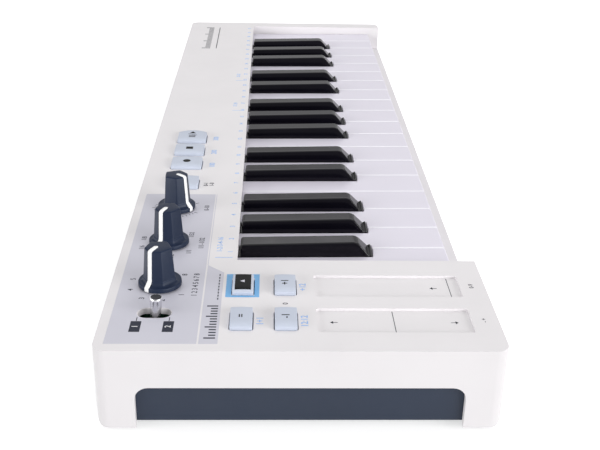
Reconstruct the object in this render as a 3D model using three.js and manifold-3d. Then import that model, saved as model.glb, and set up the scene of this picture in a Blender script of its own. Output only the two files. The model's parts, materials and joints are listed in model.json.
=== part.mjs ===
// A slim keyboard synthesizer as a three.js scene graph: case, tray, keybed, keys, controls and
// sockets, each its own closed mesh. Millimetres, +Z up, +X to the player's right, +Y to the rear.
// Everything is drawn from the case's front left bottom corner; the outer group then moves the
// origin to the middle of the footprint, at the height where the feet stand.
import * as THREE from 'three';
import { mergeVertices } from 'three/addons/utils/BufferGeometryUtils.js';
import Module from 'manifold-3d';

// ---- Case --------------------------------------------------------------------------------
const CASE_LENGTH = 485;
const CASE_DEPTH = 148;
const CASE_HEIGHT = 32.8;
const CASE_CORNER = 5;
const WALL = 2.5;
const DECK_UNDERSIDE = CASE_HEIGHT - WALL;
const LOWER_EDGE = 3.5;
const FOOT_HEIGHT = 2;
const FIT_GAP = 0.3;

const WELL_LEFT = 69.6;
const WELL_RIGHT = 473.2;
const WELL_REAR = 99;
const LIP_TOP = 16.4;
const LIP_DEPTH = 4.5;
const INNER_WALL_BOTTOM = 7;

const ARCH_FRONT = 14.4;
const ARCH_REAR = 133.6;
const ARCH_TOP = 17.3;
const ARCH_CORNER = 5;
const REAR_ARCH_TOP = 24;

// ---- Tray and feet -----------------------------------------------------------------------
const TRAY_BOTTOM = 1.3;
const TRAY_FLOOR = 2.8;
const TRAY_WALL = 1.5;
const TRAY_END_TOP = 20.5;
const TRAY_REAR_TOP = 27;
const FOOT_RADIUS = 7;
const FOOT_INSET_X = 25;
const FOOT_INSET_Y = 18;
const SCREW_X = [8.5, 90, 242, 394, 465];
const SCREW_Y = [34, 112];
const SCREW_RADIUS = 3;

// ---- Keys --------------------------------------------------------------------------------
const WHITE_COUNT = 19;
const FIRST_KEY_LEFT = 70.5;
const KEY_PITCH = 21.15;
const KEY_GAP = 0.5;
const KEY_FRONT = 8.2;
const KEY_TILT = THREE.MathUtils.degToRad(0.5);
const WHITE_TOP = 26.9;
const SKIRT_BOTTOM = 15;
const KEY_WALL = 1.6;
const KEY_BODY_REAR = 104;
const STEM_REAR = 116;
const STEM_BOTTOM = 20.8;
const STEM_TOP = 26.2;
const STEM_HALF_WIDTH = 3.6;
const PIVOT_Y = 112;
const PIVOT_Z = 22;

const NOTCH_HALF_WIDTH = 5.95;
const NOTCH_FRONT = 40.8;
const BLACK_FRONT = 41.3;
const BLACK_TOE_LENGTH = 0.6;
const BLACK_SLOPE_FOOT = 42.6;
const BLACK_TOP_FRONT = 47.9;
const BLACK_REAR = 98.2;
const BLACK_TOE_RISE = 1.1;
const BLACK_FOOT_RISE = 0.3;
const BLACK_RISE_FRONT = 6.1;
const BLACK_RISE_REAR = 4.8;
const BLACK_HALF_BASE = 5.4;
const BLACK_HALF_TOP = 3.4;
const BLACK_BOTTOM = 17.5;
// Which notes have a black key to their right, and how far its middle is from the line between
// the two white keys: the outer black keys of each group stand a little outward.
const BLACK_OFFSETS = { C: -2.2, D: 2.6, F: -2.6, G: 0, A: 2.6 };
const WHITE_NOTES = 'FGABCDE';

// ---- Keybed ------------------------------------------------------------------------------
const KEYBED_TOP = 6;
const RAIL_FRONT = 108;
const RAIL_TOP = 19.6;
const BOARD_THICKNESS = 1.6;
const CONTACT_LINE_Y = 67;
const CONTACT_BOARD_HALF = 12;
const STRIP_HALF = 7;
const STRIP_BASE = 1;
const DOME_TOP = 10.8;
const DOME_SHIFT = 3;
const DOME_RADIUS = 2.6;

// ---- Controls ----------------------------------------------------------------------------
const CONTROL_BOARD_BOTTOM = 22;
const SMALL_CAP = { x: 13.1, y: 8.3 };
const TALL_CAP = { x: 12.3, y: 15.3 };
// The play button is longer, and its right end swells outward in an arc this far.
const ARCHED_CAP = { x: 15.7, y: 15.3, arch: 3.2 };
const CAP_PROUD = 2.3;
const CAP_CORNER = 1.2;
const CAP_HOLE_GAP = 0.35;
const CAP_FLANGE = 1.2;
const CAP_FLANGE_BOTTOM = 28.6;
const SWITCH_TOP = 26.2;
const SMALL_BUTTONS = {
  shift_button: [46.5, 95.9],
  hold_button: [20.6, 95.9],
  octave_up_button: [46.5, 79.4],
  octave_down_button: [20.6, 79.4],
};
const TRANSPORT_Y = 128.15;
const TRANSPORT_BUTTONS = {
  tie_button: [150.1, TRANSPORT_Y],
  record_button: [175.7, TRANSPORT_Y],
  stop_button: [194.4, TRANSPORT_Y],
};
const PLAY_BUTTON = [214.95, TRANSPORT_Y];

const KNOB_Y = 128.5;
const KNOB_X = { mode_knob: 48.2, division_knob: 85, rate_knob: 121.8 };
const KNOB_SIDES = 9;
const KNOB_LIFT = 0.5;
const KNOB_FLANGE_RADIUS = 8.5;
const KNOB_FLANGE_TOP = 2.3;
const KNOB_BASE_RADIUS = 6.2;
const KNOB_BASE_HEIGHT = 4.2;
const KNOB_TOP_RADIUS = 5.5;
const KNOB_TOP_HEIGHT = 16.6;
const KNOB_DOME = 0.5;
const KNOB_HOLE_RADIUS = 3.8;
const SHAFT_RADIUS = 3;
const SHAFT_BOTTOM = 27.3;
const ROTARY_BODY = { half: 5.5, top: 26.8 };

const TOGGLE_X = 26.2;
const TOGGLE_Y = 128.4;
const TOGGLE_SLOT_LENGTH = 12.7;
const TOGGLE_SLOT_WIDTH = 7.1;
const TOGGLE_LEAN = THREE.MathUtils.degToRad(6);
const TOGGLE_PIVOT_Z = 25.5;
const TOGGLE_LENGTH = 14.1;
const TOGGLE_BALL_RADIUS = 1.4;
const TOGGLE_NECK_RADIUS = 1.95;
const TOGGLE_TIP_RADIUS = 2.3;
const TOGGLE_BODY_TOP = 29.6;
const TOGGLE_BODY = { x: 12, y: 16 };

const STRIP_RECESS = 1.1;
const STRIP_FRONT = 10.5;
const STRIP_REAR = 67.5;
const PITCH_STRIP = [13, 29.9];
const MOD_STRIP = [39.3, 56.2];
const SENSOR_TOP = 30;
const SENSOR_BOTTOM = 28.8;

// ---- Rear sockets ------------------------------------------------------------------------
const CONNECTOR_BOARD_BOTTOM = 4.6;
const PANEL_FACE = CASE_DEPTH - WALL - FIT_GAP;
const SOCKET_FACE = PANEL_FACE - TRAY_WALL - FIT_GAP;
const SOCKET_DEPTH = 20;
const SOCKET_BASE = CONNECTOR_BOARD_BOTTOM + BOARD_THICKNESS + FIT_GAP;
const SOCKET_AXIS_Z = 14.8;
const SUSTAIN_X = 335;
const SUSTAIN_BORE = 3.2;
const SUSTAIN_HALF = 7;
const MIDI_X = { midi_in_socket: 362, midi_out_socket: 392 };
const MIDI_HALF = 8.5;
const MIDI_BORE = 7;
const MIDI_BORE_DEPTH = 9;
const MINI_JACK_X = [244, 258, 272, 294, 308];
const MINI_JACK_BORE = 1.8;
const MINI_JACK_HALF = 4;
const MINI_JACK_AXIS_Z = 12;
const DATA_SOCKET = { x: 422, width: 9, top: 10.4 };
const POWER_INLET = { x: 448, half: 5.5, bore: 3.2, pin: 0.9 };
const DIP_SWITCH = { x: 225, width: 11, top: 11.5 };

// ---- Colours -----------------------------------------------------------------------------
const shellWhite = { color: 0xe5e2e4, roughness: 0.55 };
const slate = { color: 0x424b5c, roughness: 0.6 };
const keyWhite = { color: 0xdedae6, roughness: 0.35 };
const keyBlack = { color: 0x101013, roughness: 0.18 };
const knobNavy = { color: 0x2d354b, roughness: 0.5 };
const capGrey = { color: 0xcdd6e6, roughness: 0.5 };
const chrome = { color: 0xb8babd, roughness: 0.15, metalness: 1 };
const rubber = { color: 0x1c1c1e, roughness: 0.9 };
const contactRubber = { color: 0x8a8c90, roughness: 0.8 };
const board = { color: 0x14532f, roughness: 0.5 };
const chassis = { color: 0x6f7378, roughness: 0.5 };
const socketBlack = { color: 0x18181a, roughness: 0.5 };

const wasm = await Module();
wasm.setup();

// ---- Solids ------------------------------------------------------------------------------
function solidFrom(geometry) {
  const bare = geometry.clone();
  bare.deleteAttribute('normal');
  bare.deleteAttribute('uv');
  const merged = mergeVertices(bare, 1e-4);
  const vertProperties = new Float32Array(merged.attributes.position.array);
  const triVerts = new Uint32Array(merged.index.array);
  return new wasm.Manifold(new wasm.Mesh({ numProp: 3, vertProperties, triVerts }));
}

function geometryFrom(solid) {
  const mesh = solid.getMesh();
  const geometry = new THREE.BufferGeometry();
  geometry.setAttribute('position', new THREE.BufferAttribute(mesh.vertProperties.slice(), 3));
  geometry.setIndex(new THREE.BufferAttribute(mesh.triVerts.slice(), 1));
  geometry.computeVertexNormals();
  return geometry;
}

function box([x0, x1], [y0, y1], [z0, z1]) {
  const geometry = new THREE.BoxGeometry(x1 - x0, y1 - y0, z1 - z0);
  geometry.translate((x0 + x1) / 2, (y0 + y1) / 2, (z0 + z1) / 2);
  return solidFrom(geometry);
}

function extrude(shape, length, curveSegments = 2) {
  return new THREE.ExtrudeGeometry(shape, { depth: length, bevelEnabled: false, curveSegments });
}

function plate(shape, [z0, z1], curveSegments) {
  return solidFrom(extrude(shape, z1 - z0, curveSegments).translate(0, 0, z0));
}

// A prism whose outline lies in the YZ plane, drawn from x0 to x1.
function prismAlongX(shape, [x0, x1], curveSegments) {
  const turn = new THREE.Matrix4().makeBasis(
    new THREE.Vector3(0, 1, 0),
    new THREE.Vector3(0, 0, 1),
    new THREE.Vector3(1, 0, 0),
  );
  return solidFrom(extrude(shape, x1 - x0, curveSegments).applyMatrix4(turn).translate(x0, 0, 0));
}

// A prism whose outline lies in the XZ plane, drawn from y0 to y1.
function prismAlongY(shape, [y0, y1], curveSegments) {
  const geometry = extrude(shape, y1 - y0, curveSegments).rotateX(Math.PI / 2);
  return solidFrom(geometry.translate(0, y1, 0));
}

function post([x, y], radius, [z0, z1], sides = 16) {
  const geometry = new THREE.CylinderGeometry(radius, radius, z1 - z0, sides).rotateX(Math.PI / 2);
  return solidFrom(geometry.translate(x, y, (z0 + z1) / 2));
}

function bar([x, z], radius, [y0, y1], sides = 16) {
  const geometry = new THREE.CylinderGeometry(radius, radius, y1 - y0, sides);
  return solidFrom(geometry.translate(x, (y0 + y1) / 2, z));
}

function outline(points) {
  return new THREE.Shape(points.map(([a, b]) => new THREE.Vector2(a, b)));
}

function roundedRectangle([a0, a1], [b0, b1], radius) {
  const quarter = Math.PI / 2;
  const shape = new THREE.Shape();
  shape.absarc(a1 - radius, b0 + radius, radius, -quarter, 0);
  shape.absarc(a1 - radius, b1 - radius, radius, 0, quarter);
  shape.absarc(a0 + radius, b1 - radius, radius, quarter, 2 * quarter);
  shape.absarc(a0 + radius, b0 + radius, radius, 2 * quarter, 3 * quarter);
  shape.closePath();
  return shape;
}

// An arch: straight below, rounded in its two upper corners.
function archShape([a0, a1], [b0, b1], radius) {
  const shape = new THREE.Shape();
  shape.moveTo(a0, b0);
  shape.lineTo(a1, b0);
  shape.absarc(a1 - radius, b1 - radius, radius, 0, Math.PI / 2);
  shape.absarc(a0 + radius, b1 - radius, radius, Math.PI / 2, Math.PI);
  shape.closePath();
  return shape;
}

function around([x, y], size, grow = 0) {
  const halfX = size.x / 2 + grow;
  const halfY = size.y / 2 + grow;
  return [[x - halfX, x + halfX], [y - halfY, y + halfY]];
}

const joined = (first, ...others) => others.reduce((solid, other) => solid.add(other), first);
const cut = (first, ...others) => others.reduce((solid, other) => solid.subtract(other), first);

// ---- Scene graph -------------------------------------------------------------------------
const synthesizer = new THREE.Group();
synthesizer.name = 'synthesizer';
synthesizer.position.set(-CASE_LENGTH / 2, -CASE_DEPTH / 2, FOOT_HEIGHT);

function addPart(name, solid, finish, parent = synthesizer) {
  const mesh = new THREE.Mesh(geometryFrom(solid), new THREE.MeshStandardMaterial(finish));
  mesh.name = name;
  parent.add(mesh);
  return mesh;
}

// ---- Case --------------------------------------------------------------------------------
function caseBlock(inset, [z0, z1]) {
  const x = [inset, CASE_LENGTH - inset];
  const y = [inset, CASE_DEPTH - inset];
  return plate(roundedRectangle(x, y, CASE_CORNER - inset), [z0, z1], 3);
}

// The side profile rounds the case's front and rear lower edges.
function sideProfile() {
  const shape = new THREE.Shape();
  shape.moveTo(CASE_DEPTH, CASE_HEIGHT);
  shape.lineTo(0, CASE_HEIGHT);
  shape.absarc(LOWER_EDGE, LOWER_EDGE, LOWER_EDGE, Math.PI, 1.5 * Math.PI);
  shape.absarc(CASE_DEPTH - LOWER_EDGE, LOWER_EDGE, LOWER_EDGE, 1.5 * Math.PI, 2 * Math.PI);
  shape.closePath();
  return prismAlongX(shape, [-1, CASE_LENGTH + 1], 3);
}

function wellWalls() {
  const y = [1, WELL_REAR + WALL];
  const z = [INNER_WALL_BOTTOM, DECK_UNDERSIDE + 1];
  return [
    box([WELL_LEFT - WALL, WELL_LEFT], y, z),
    box([WELL_RIGHT, WELL_RIGHT + WALL], y, z),
  ];
}

function archedEnd([x0, x1], [y0, y1], arch) {
  const half = (y1 - y0) / 2;
  const radius = (half ** 2 + arch ** 2) / (2 * arch);
  const turn = Math.asin(half / radius);
  const shape = new THREE.Shape();
  shape.absarc(x1 - radius, y0 + half, radius, -turn, turn);
  shape.absarc(x0 + CAP_CORNER, y1 - CAP_CORNER, CAP_CORNER, Math.PI / 2, Math.PI);
  shape.absarc(x0 + CAP_CORNER, y0 + CAP_CORNER, CAP_CORNER, Math.PI, 1.5 * Math.PI);
  shape.closePath();
  return shape;
}

// A button's outline drawn up from z0 to z1: the cap itself, or the hole around it.
function capPrism(place, cap, grow, height) {
  const [spanX, spanY] = around(place, cap, grow);
  if (cap.arch) {
    return plate(archedEnd(spanX, spanY, cap.arch), height, 3);
  }
  return plate(roundedRectangle(spanX, spanY, CAP_CORNER), height, 1);
}

function deckOpenings() {
  const through = [DECK_UNDERSIDE - 1, CASE_HEIGHT + 1];
  const hole = (place, cap) => capPrism(place, cap, CAP_HOLE_GAP, through);
  const small = Object.values(SMALL_BUTTONS).map((place) => hole(place, SMALL_CAP));
  const tall = Object.values(TRANSPORT_BUTTONS).map((place) => hole(place, TALL_CAP));
  const knobs = Object.values(KNOB_X).map((x) => post([x, KNOB_Y], KNOB_HOLE_RADIUS, through));
  const [slotX, slotY] = around([TOGGLE_X, TOGGLE_Y], { x: TOGGLE_SLOT_WIDTH, y: TOGGLE_SLOT_LENGTH });
  const slot = plate(roundedRectangle(slotX, slotY, TOGGLE_SLOT_WIDTH / 2 - 0.01), through, 3);
  return [...small, ...tall, hole(PLAY_BUTTON, ARCHED_CAP), ...knobs, slot];
}

function stripRecess(spanX) {
  const shape = roundedRectangle(spanX, [STRIP_FRONT, STRIP_REAR], 1);
  return plate(shape, [CASE_HEIGHT - STRIP_RECESS, CASE_HEIGHT + 1], 1);
}

// The cut-outs at both ends and along the rear; each leaves a leg at every corner of the case.
function caseArches() {
  const depth = WALL + 0.5;
  const side = archShape([ARCH_FRONT, ARCH_REAR], [-1, ARCH_TOP], ARCH_CORNER);
  const rear = archShape([ARCH_FRONT, CASE_LENGTH - ARCH_FRONT], [-1, REAR_ARCH_TOP], ARCH_CORNER);
  return [
    prismAlongX(side, [-1, depth], 3),
    prismAlongX(side, [CASE_LENGTH - depth, CASE_LENGTH + 1], 3),
    prismAlongY(rear, [CASE_DEPTH - depth, CASE_DEPTH + 1], 3),
  ];
}

function screwBosses() {
  const height = [TRAY_FLOOR + FIT_GAP, DECK_UNDERSIDE + 1];
  return SCREW_Y.map((y) => post([SCREW_X[0], y], SCREW_RADIUS, height, 12));
}

function topCase() {
  const outer = caseBlock(0, [0, CASE_HEIGHT]).intersect(sideProfile());
  const hollow = caseBlock(WALL, [-1, DECK_UNDERSIDE]);
  const well = box([WELL_LEFT, WELL_RIGHT], [-1, WELL_REAR], [LIP_TOP, CASE_HEIGHT + 1]);
  const lip = box([WELL_LEFT - 1, WELL_RIGHT + 1], [1, LIP_DEPTH], [LIP_TOP - WALL, LIP_TOP]);
  const shell = cut(outer, hollow, well);
  const walled = joined(shell, ...wellWalls(), lip, ...screwBosses());
  const recesses = [PITCH_STRIP, MOD_STRIP].map(stripRecess);
  return cut(walled, ...deckOpenings(), ...recesses, ...caseArches());
}

// ---- Tray and feet -----------------------------------------------------------------------
// The three large sockets stand in notches of the rear wall, flush with its outer face.
function socketNotch(x, half) {
  const reach = half + FIT_GAP;
  const height = [SOCKET_BASE - FIT_GAP, TRAY_REAR_TOP + 1];
  return box([x - reach, x + reach], [SOCKET_FACE - 1, CASE_DEPTH], height);
}

// The small sockets look out through holes of their own.
function socketHoles() {
  const reach = [SOCKET_FACE - 1, CASE_DEPTH];
  const jackHole = MINI_JACK_BORE + 1;
  const powerHole = POWER_INLET.bore + 0.6;
  const halfData = DATA_SOCKET.width / 2;
  const halfDip = DIP_SWITCH.width / 2;
  return [
    ...MINI_JACK_X.map((x) => bar([x, MINI_JACK_AXIS_Z], jackHole, reach, 12)),
    box([DATA_SOCKET.x - halfData, DATA_SOCKET.x + halfData], reach, [SOCKET_BASE, DATA_SOCKET.top]),
    box([DIP_SWITCH.x - halfDip, DIP_SWITCH.x + halfDip], reach, [SOCKET_BASE, DIP_SWITCH.top]),
    bar([POWER_INLET.x, MINI_JACK_AXIS_Z], powerHole, reach, 16),
  ];
}

function screwHoles() {
  const holes = [];
  for (const x of SCREW_X) {
    for (const y of SCREW_Y) {
      holes.push(post([x, y], SCREW_RADIUS, [0, TRAY_BOTTOM + 1.2], 12));
    }
  }
  return holes;
}

function bottomTray() {
  const inset = WALL + FIT_GAP;
  const x = [inset, CASE_LENGTH - inset];
  const y = [inset, CASE_DEPTH - inset];
  const floor = plate(roundedRectangle(x, y, CASE_CORNER - inset), [TRAY_BOTTOM, TRAY_FLOOR]);
  const endY = [ARCH_FRONT - 6, CASE_DEPTH - 6];
  const tall = [TRAY_BOTTOM, TRAY_END_TOP];
  const leftWall = box([x[0], x[0] + TRAY_WALL], endY, tall);
  const rightWall = box([x[1] - TRAY_WALL, x[1]], endY, tall);
  const rearWall = box([x[0] + 6, x[1] - 6], [y[1] - TRAY_WALL, y[1]], [TRAY_BOTTOM, TRAY_REAR_TOP]);
  const notches = Object.values(MIDI_X).map((midiX) => socketNotch(midiX, MIDI_HALF));
  notches.push(socketNotch(SUSTAIN_X, SUSTAIN_HALF));
  const walls = joined(floor, leftWall, rightWall, rearWall);
  return cut(walls, ...notches, ...socketHoles(), ...screwHoles());
}

function footPlaces() {
  const left = FOOT_INSET_X;
  const right = CASE_LENGTH - FOOT_INSET_X;
  const front = FOOT_INSET_Y;
  const rear = CASE_DEPTH - FOOT_INSET_Y;
  return {
    foot_front_left: [left, front],
    foot_front_right: [right, front],
    foot_rear_left: [left, rear],
    foot_rear_right: [right, rear],
  };
}

// ---- Keys --------------------------------------------------------------------------------
const whiteKeyLeft = (index) => FIRST_KEY_LEFT + index * KEY_PITCH;
const noteOf = (index) => WHITE_NOTES[index % WHITE_NOTES.length];

// The middle of the black key that follows white key `index`, or null where there is none.
function blackKeyCentre(index) {
  if (index < 0 || index >= WHITE_COUNT - 1 || !(noteOf(index) in BLACK_OFFSETS)) {
    return null;
  }
  return whiteKeyLeft(index + 1) + BLACK_OFFSETS[noteOf(index)];
}

// The plan of a white key's body: full width in front, narrowed beside its black keys. `inset`
// moves every side inward, which gives the outline of the hollow underneath.
function whiteKeyPlan(index, inset) {
  const left = whiteKeyLeft(index) + KEY_GAP / 2 + inset;
  const right = whiteKeyLeft(index + 1) - KEY_GAP / 2 - inset;
  const blackBefore = blackKeyCentre(index - 1);
  const blackAfter = blackKeyCentre(index);
  const rearLeft = blackBefore === null ? left : blackBefore + NOTCH_HALF_WIDTH + inset;
  const rearRight = blackAfter === null ? right : blackAfter - NOTCH_HALF_WIDTH - inset;
  const front = KEY_FRONT + inset;
  const notch = NOTCH_FRONT - inset;
  const rear = KEY_BODY_REAR - inset;
  const points = [[left, front], [right, front], [right, notch]];
  if (blackAfter !== null) {
    points.push([rearRight, notch]);
  }
  points.push([rearRight, rear], [rearLeft, rear]);
  if (blackBefore !== null) {
    points.push([rearLeft, notch]);
  }
  points.push([left, notch]);
  return { shape: outline(points), middle: (rearLeft + rearRight) / 2 };
}

function keyStem(middle) {
  const x = [middle - STEM_HALF_WIDTH, middle + STEM_HALF_WIDTH];
  return box(x, [KEY_BODY_REAR - KEY_WALL, STEM_REAR], [STEM_BOTTOM, STEM_TOP]);
}

function whiteKey(index) {
  const { shape, middle } = whiteKeyPlan(index, 0);
  const body = plate(shape, [SKIRT_BOTTOM, WHITE_TOP]);
  const hollow = plate(whiteKeyPlan(index, KEY_WALL).shape, [SKIRT_BOTTOM - 1, WHITE_TOP - 2]);
  return joined(cut(body, hollow), keyStem(middle));
}

// Side view of a black key. With an inset it is the hollow, which opens through the underside.
function blackKeySide(inset) {
  const bottom = inset > 0 ? BLACK_BOTTOM - 1 : BLACK_BOTTOM;
  const level = WHITE_TOP - inset;
  return outline([
    [BLACK_FRONT + inset, bottom],
    [BLACK_REAR - inset, bottom],
    [BLACK_REAR - inset, level + BLACK_RISE_REAR],
    [BLACK_TOP_FRONT + inset, level + BLACK_RISE_FRONT],
    [BLACK_SLOPE_FOOT + inset, level + BLACK_FOOT_RISE],
    [BLACK_FRONT + inset + BLACK_TOE_LENGTH, level + BLACK_TOE_RISE],
    [BLACK_FRONT + inset, level + BLACK_TOE_RISE],
  ]);
}

// End view of a black key: upright below the white keys' level, leaning inward above it.
function blackKeyEnd(centre, inset) {
  const base = BLACK_HALF_BASE - inset;
  const top = BLACK_HALF_TOP - inset;
  const high = WHITE_TOP + BLACK_RISE_FRONT;
  return outline([
    [centre - base, BLACK_BOTTOM - 2],
    [centre + base, BLACK_BOTTOM - 2],
    [centre + base, WHITE_TOP],
    [centre + top, high],
    [centre - top, high],
    [centre - base, WHITE_TOP],
  ]);
}

function blackKeyBlock(centre, inset) {
  const reach = BLACK_HALF_BASE + 1;
  const side = prismAlongX(blackKeySide(inset), [centre - reach, centre + reach]);
  return side.intersect(prismAlongY(blackKeyEnd(centre, inset), [BLACK_FRONT - 1, BLACK_REAR + 1]));
}

function blackKey(centre) {
  const stem = box(
    [centre - STEM_HALF_WIDTH, centre + STEM_HALF_WIDTH],
    [BLACK_REAR - KEY_WALL, STEM_REAR],
    [STEM_BOTTOM, STEM_TOP],
  );
  return joined(cut(blackKeyBlock(centre, 0), blackKeyBlock(centre, KEY_WALL)), stem);
}

// A key hangs on its hinge line: its geometry is measured from there, and its mesh is tilted so
// that the playing surface rises a little towards the front.
function addKey(name, solid, finish) {
  const key = addPart(name, solid.translate([0, -PIVOT_Y, -PIVOT_Z]), finish);
  key.position.set(0, PIVOT_Y, PIVOT_Z);
  key.rotation.x = -KEY_TILT;
}

const twoDigits = (number) => String(number).padStart(2, '0');

function addKeys() {
  let blackCount = 0;
  for (let index = 0; index < WHITE_COUNT; index += 1) {
    addKey(`white_key_${twoDigits(index + 1)}`, whiteKey(index), keyWhite);
    const centre = blackKeyCentre(index);
    if (centre !== null) {
      blackCount += 1;
      addKey(`black_key_${twoDigits(blackCount)}`, blackKey(centre), keyBlack);
    }
  }
}

// ---- Keybed ------------------------------------------------------------------------------
const keybedSpan = (inset) => [WELL_LEFT + inset, WELL_RIGHT - inset];

function keybedFrame() {
  const base = box(keybedSpan(0.5), [LIP_DEPTH + 0.5, STEM_REAR], [TRAY_FLOOR + FIT_GAP, KEYBED_TOP]);
  const rail = box(keybedSpan(0.5), [RAIL_FRONT, STEM_REAR], [KEYBED_TOP - 1, RAIL_TOP]);
  const trough = box(keybedSpan(4), [RAIL_FRONT + 2, STEM_REAR + 1], [KEYBED_TOP, RAIL_TOP - 2]);
  return cut(joined(base, rail), trough);
}

function contactBoard() {
  const bottom = KEYBED_TOP + FIT_GAP;
  const y = [CONTACT_LINE_Y - CONTACT_BOARD_HALF, CONTACT_LINE_Y + CONTACT_BOARD_HALF];
  return box(keybedSpan(2), y, [bottom, bottom + BOARD_THICKNESS]);
}

// The rubber strip has one dome under each key: white keys in front, black keys behind.
function contactStrip() {
  const bottom = KEYBED_TOP + FIT_GAP + BOARD_THICKNESS + FIT_GAP;
  const y = [CONTACT_LINE_Y - STRIP_HALF, CONTACT_LINE_Y + STRIP_HALF];
  const domes = [];
  for (let index = 0; index < WHITE_COUNT; index += 1) {
    const height = [bottom, DOME_TOP];
    domes.push(post([whiteKeyLeft(index + 0.5), CONTACT_LINE_Y - DOME_SHIFT], DOME_RADIUS, height, 8));
    const centre = blackKeyCentre(index);
    if (centre !== null) {
      domes.push(post([centre, CONTACT_LINE_Y + DOME_SHIFT], DOME_RADIUS, height, 8));
    }
  }
  return joined(box(keybedSpan(3), y, [bottom, bottom + STRIP_BASE]), ...domes);
}

// ---- Controls ----------------------------------------------------------------------------
function buttonCap(place, cap) {
  const [flangeX, flangeY] = around(place, cap, CAP_FLANGE);
  const body = capPrism(place, cap, 0, [CAP_FLANGE_BOTTOM, CASE_HEIGHT + CAP_PROUD]);
  return joined(body, box(flangeX, flangeY, [CAP_FLANGE_BOTTOM, DECK_UNDERSIDE - FIT_GAP]));
}

function knobProfile() {
  const height = (above) => CASE_HEIGHT + above;
  return [
    [0, SHAFT_BOTTOM],
    [SHAFT_RADIUS, SHAFT_BOTTOM],
    [SHAFT_RADIUS, height(KNOB_LIFT)],
    [KNOB_FLANGE_RADIUS, height(KNOB_LIFT)],
    [KNOB_FLANGE_RADIUS, height(KNOB_FLANGE_TOP - 0.8)],
    [KNOB_BASE_RADIUS + 0.8, height(KNOB_FLANGE_TOP)],
    [KNOB_BASE_RADIUS, height(KNOB_BASE_HEIGHT)],
    [KNOB_TOP_RADIUS, height(KNOB_TOP_HEIGHT)],
    [KNOB_TOP_RADIUS - 1, height(KNOB_TOP_HEIGHT + KNOB_DOME)],
    [0, height(KNOB_TOP_HEIGHT + KNOB_DOME)],
  ].map(([radius, z]) => new THREE.Vector2(radius, z));
}

function knob(x) {
  const turned = new THREE.LatheGeometry(knobProfile(), 2 * KNOB_SIDES).rotateX(Math.PI / 2);
  return solidFrom(turned.translate(x, KNOB_Y, 0));
}

function toggleLever() {
  const profile = [
    [0, -TOGGLE_BALL_RADIUS],
    [1, -1],
    [TOGGLE_BALL_RADIUS, 0],
    [TOGGLE_BALL_RADIUS, 2],
    [TOGGLE_NECK_RADIUS, 7],
    [TOGGLE_TIP_RADIUS, TOGGLE_LENGTH - 0.9],
    [TOGGLE_TIP_RADIUS - 0.4, TOGGLE_LENGTH],
    [0, TOGGLE_LENGTH],
  ];
  const points = profile.map(([radius, z]) => new THREE.Vector2(radius, z));
  return solidFrom(new THREE.LatheGeometry(points, 12).rotateX(Math.PI / 2));
}

function switchBody([x, y]) {
  return box([x - 3, x + 3], [y - 3, y + 3], [CONTROL_BOARD_BOTTOM + 1, SWITCH_TOP]);
}

function rotaryBody(x) {
  const { half, top } = ROTARY_BODY;
  return box([x - half, x + half], [KNOB_Y - half, KNOB_Y + half], [CONTROL_BOARD_BOTTOM + 1, top]);
}

function toggleBody() {
  const [spanX, spanY] = around([TOGGLE_X, TOGGLE_Y], TOGGLE_BODY);
  const [pocketX, pocketY] = around([TOGGLE_X, TOGGLE_Y], TOGGLE_BODY, -TRAY_WALL);
  const body = box(spanX, spanY, [CONTROL_BOARD_BOTTOM + 1, TOGGLE_BODY_TOP]);
  const pocketHeight = [CONTROL_BOARD_BOTTOM + BOARD_THICKNESS, TOGGLE_BODY_TOP + 1];
  return { body, pocket: box(pocketX, pocketY, pocketHeight) };
}

function controlBoard() {
  const z = [CONTROL_BOARD_BOTTOM, CONTROL_BOARD_BOTTOM + BOARD_THICKNESS];
  const blockArm = box([17.5, 64], [8, 141], z);
  const deckArm = box([60, 222], [STEM_REAR + 3, 141], z);
  const transport = [...Object.values(TRANSPORT_BUTTONS), PLAY_BUTTON];
  const places = [...Object.values(SMALL_BUTTONS), ...transport];
  const toggle = toggleBody();
  const mounted = [...places.map(switchBody), ...Object.values(KNOB_X).map(rotaryBody), toggle.body];
  return cut(joined(blockArm, deckArm, ...mounted), toggle.pocket);
}

// ---- Rear sockets ------------------------------------------------------------------------
const socketSpan = [PANEL_FACE - SOCKET_DEPTH, PANEL_FACE];

function sustainJack() {
  const halfHeight = SOCKET_AXIS_Z - SOCKET_BASE;
  const body = box(
    [SUSTAIN_X - SUSTAIN_HALF, SUSTAIN_X + SUSTAIN_HALF],
    socketSpan,
    [SOCKET_BASE, SOCKET_AXIS_Z + halfHeight],
  );
  const bore = bar([SUSTAIN_X, SOCKET_AXIS_Z], SUSTAIN_BORE, [socketSpan[0] + 2, PANEL_FACE + 1], 16);
  return cut(body, bore);
}

function midiSocket(x) {
  const body = box([x - MIDI_HALF, x + MIDI_HALF], socketSpan, [SOCKET_BASE, SOCKET_AXIS_Z + MIDI_HALF]);
  const bore = bar([x, SOCKET_AXIS_Z], MIDI_BORE, [PANEL_FACE - MIDI_BORE_DEPTH, PANEL_FACE + 1], 12);
  return cut(body, bore);
}

function miniJack(x) {
  const body = box(
    [x - MINI_JACK_HALF, x + MINI_JACK_HALF],
    [SOCKET_FACE - 12, SOCKET_FACE],
    [SOCKET_BASE - 1, MINI_JACK_AXIS_Z + MINI_JACK_HALF],
  );
  return cut(body, bar([x, MINI_JACK_AXIS_Z], MINI_JACK_BORE, [SOCKET_FACE - 10, SOCKET_FACE + 1], 12));
}

function dataSocket() {
  const { x, width, top } = DATA_SOCKET;
  const y = [SOCKET_FACE - 9, SOCKET_FACE];
  const body = box([x - width / 2, x + width / 2], y, [SOCKET_BASE - 1, top]);
  const mouth = [x - width / 2 + 0.8, x + width / 2 - 0.8];
  const slot = box(mouth, [y[0] + 1, y[1] + 1], [SOCKET_BASE + 0.2, top - 0.7]);
  return cut(body, slot);
}

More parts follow.
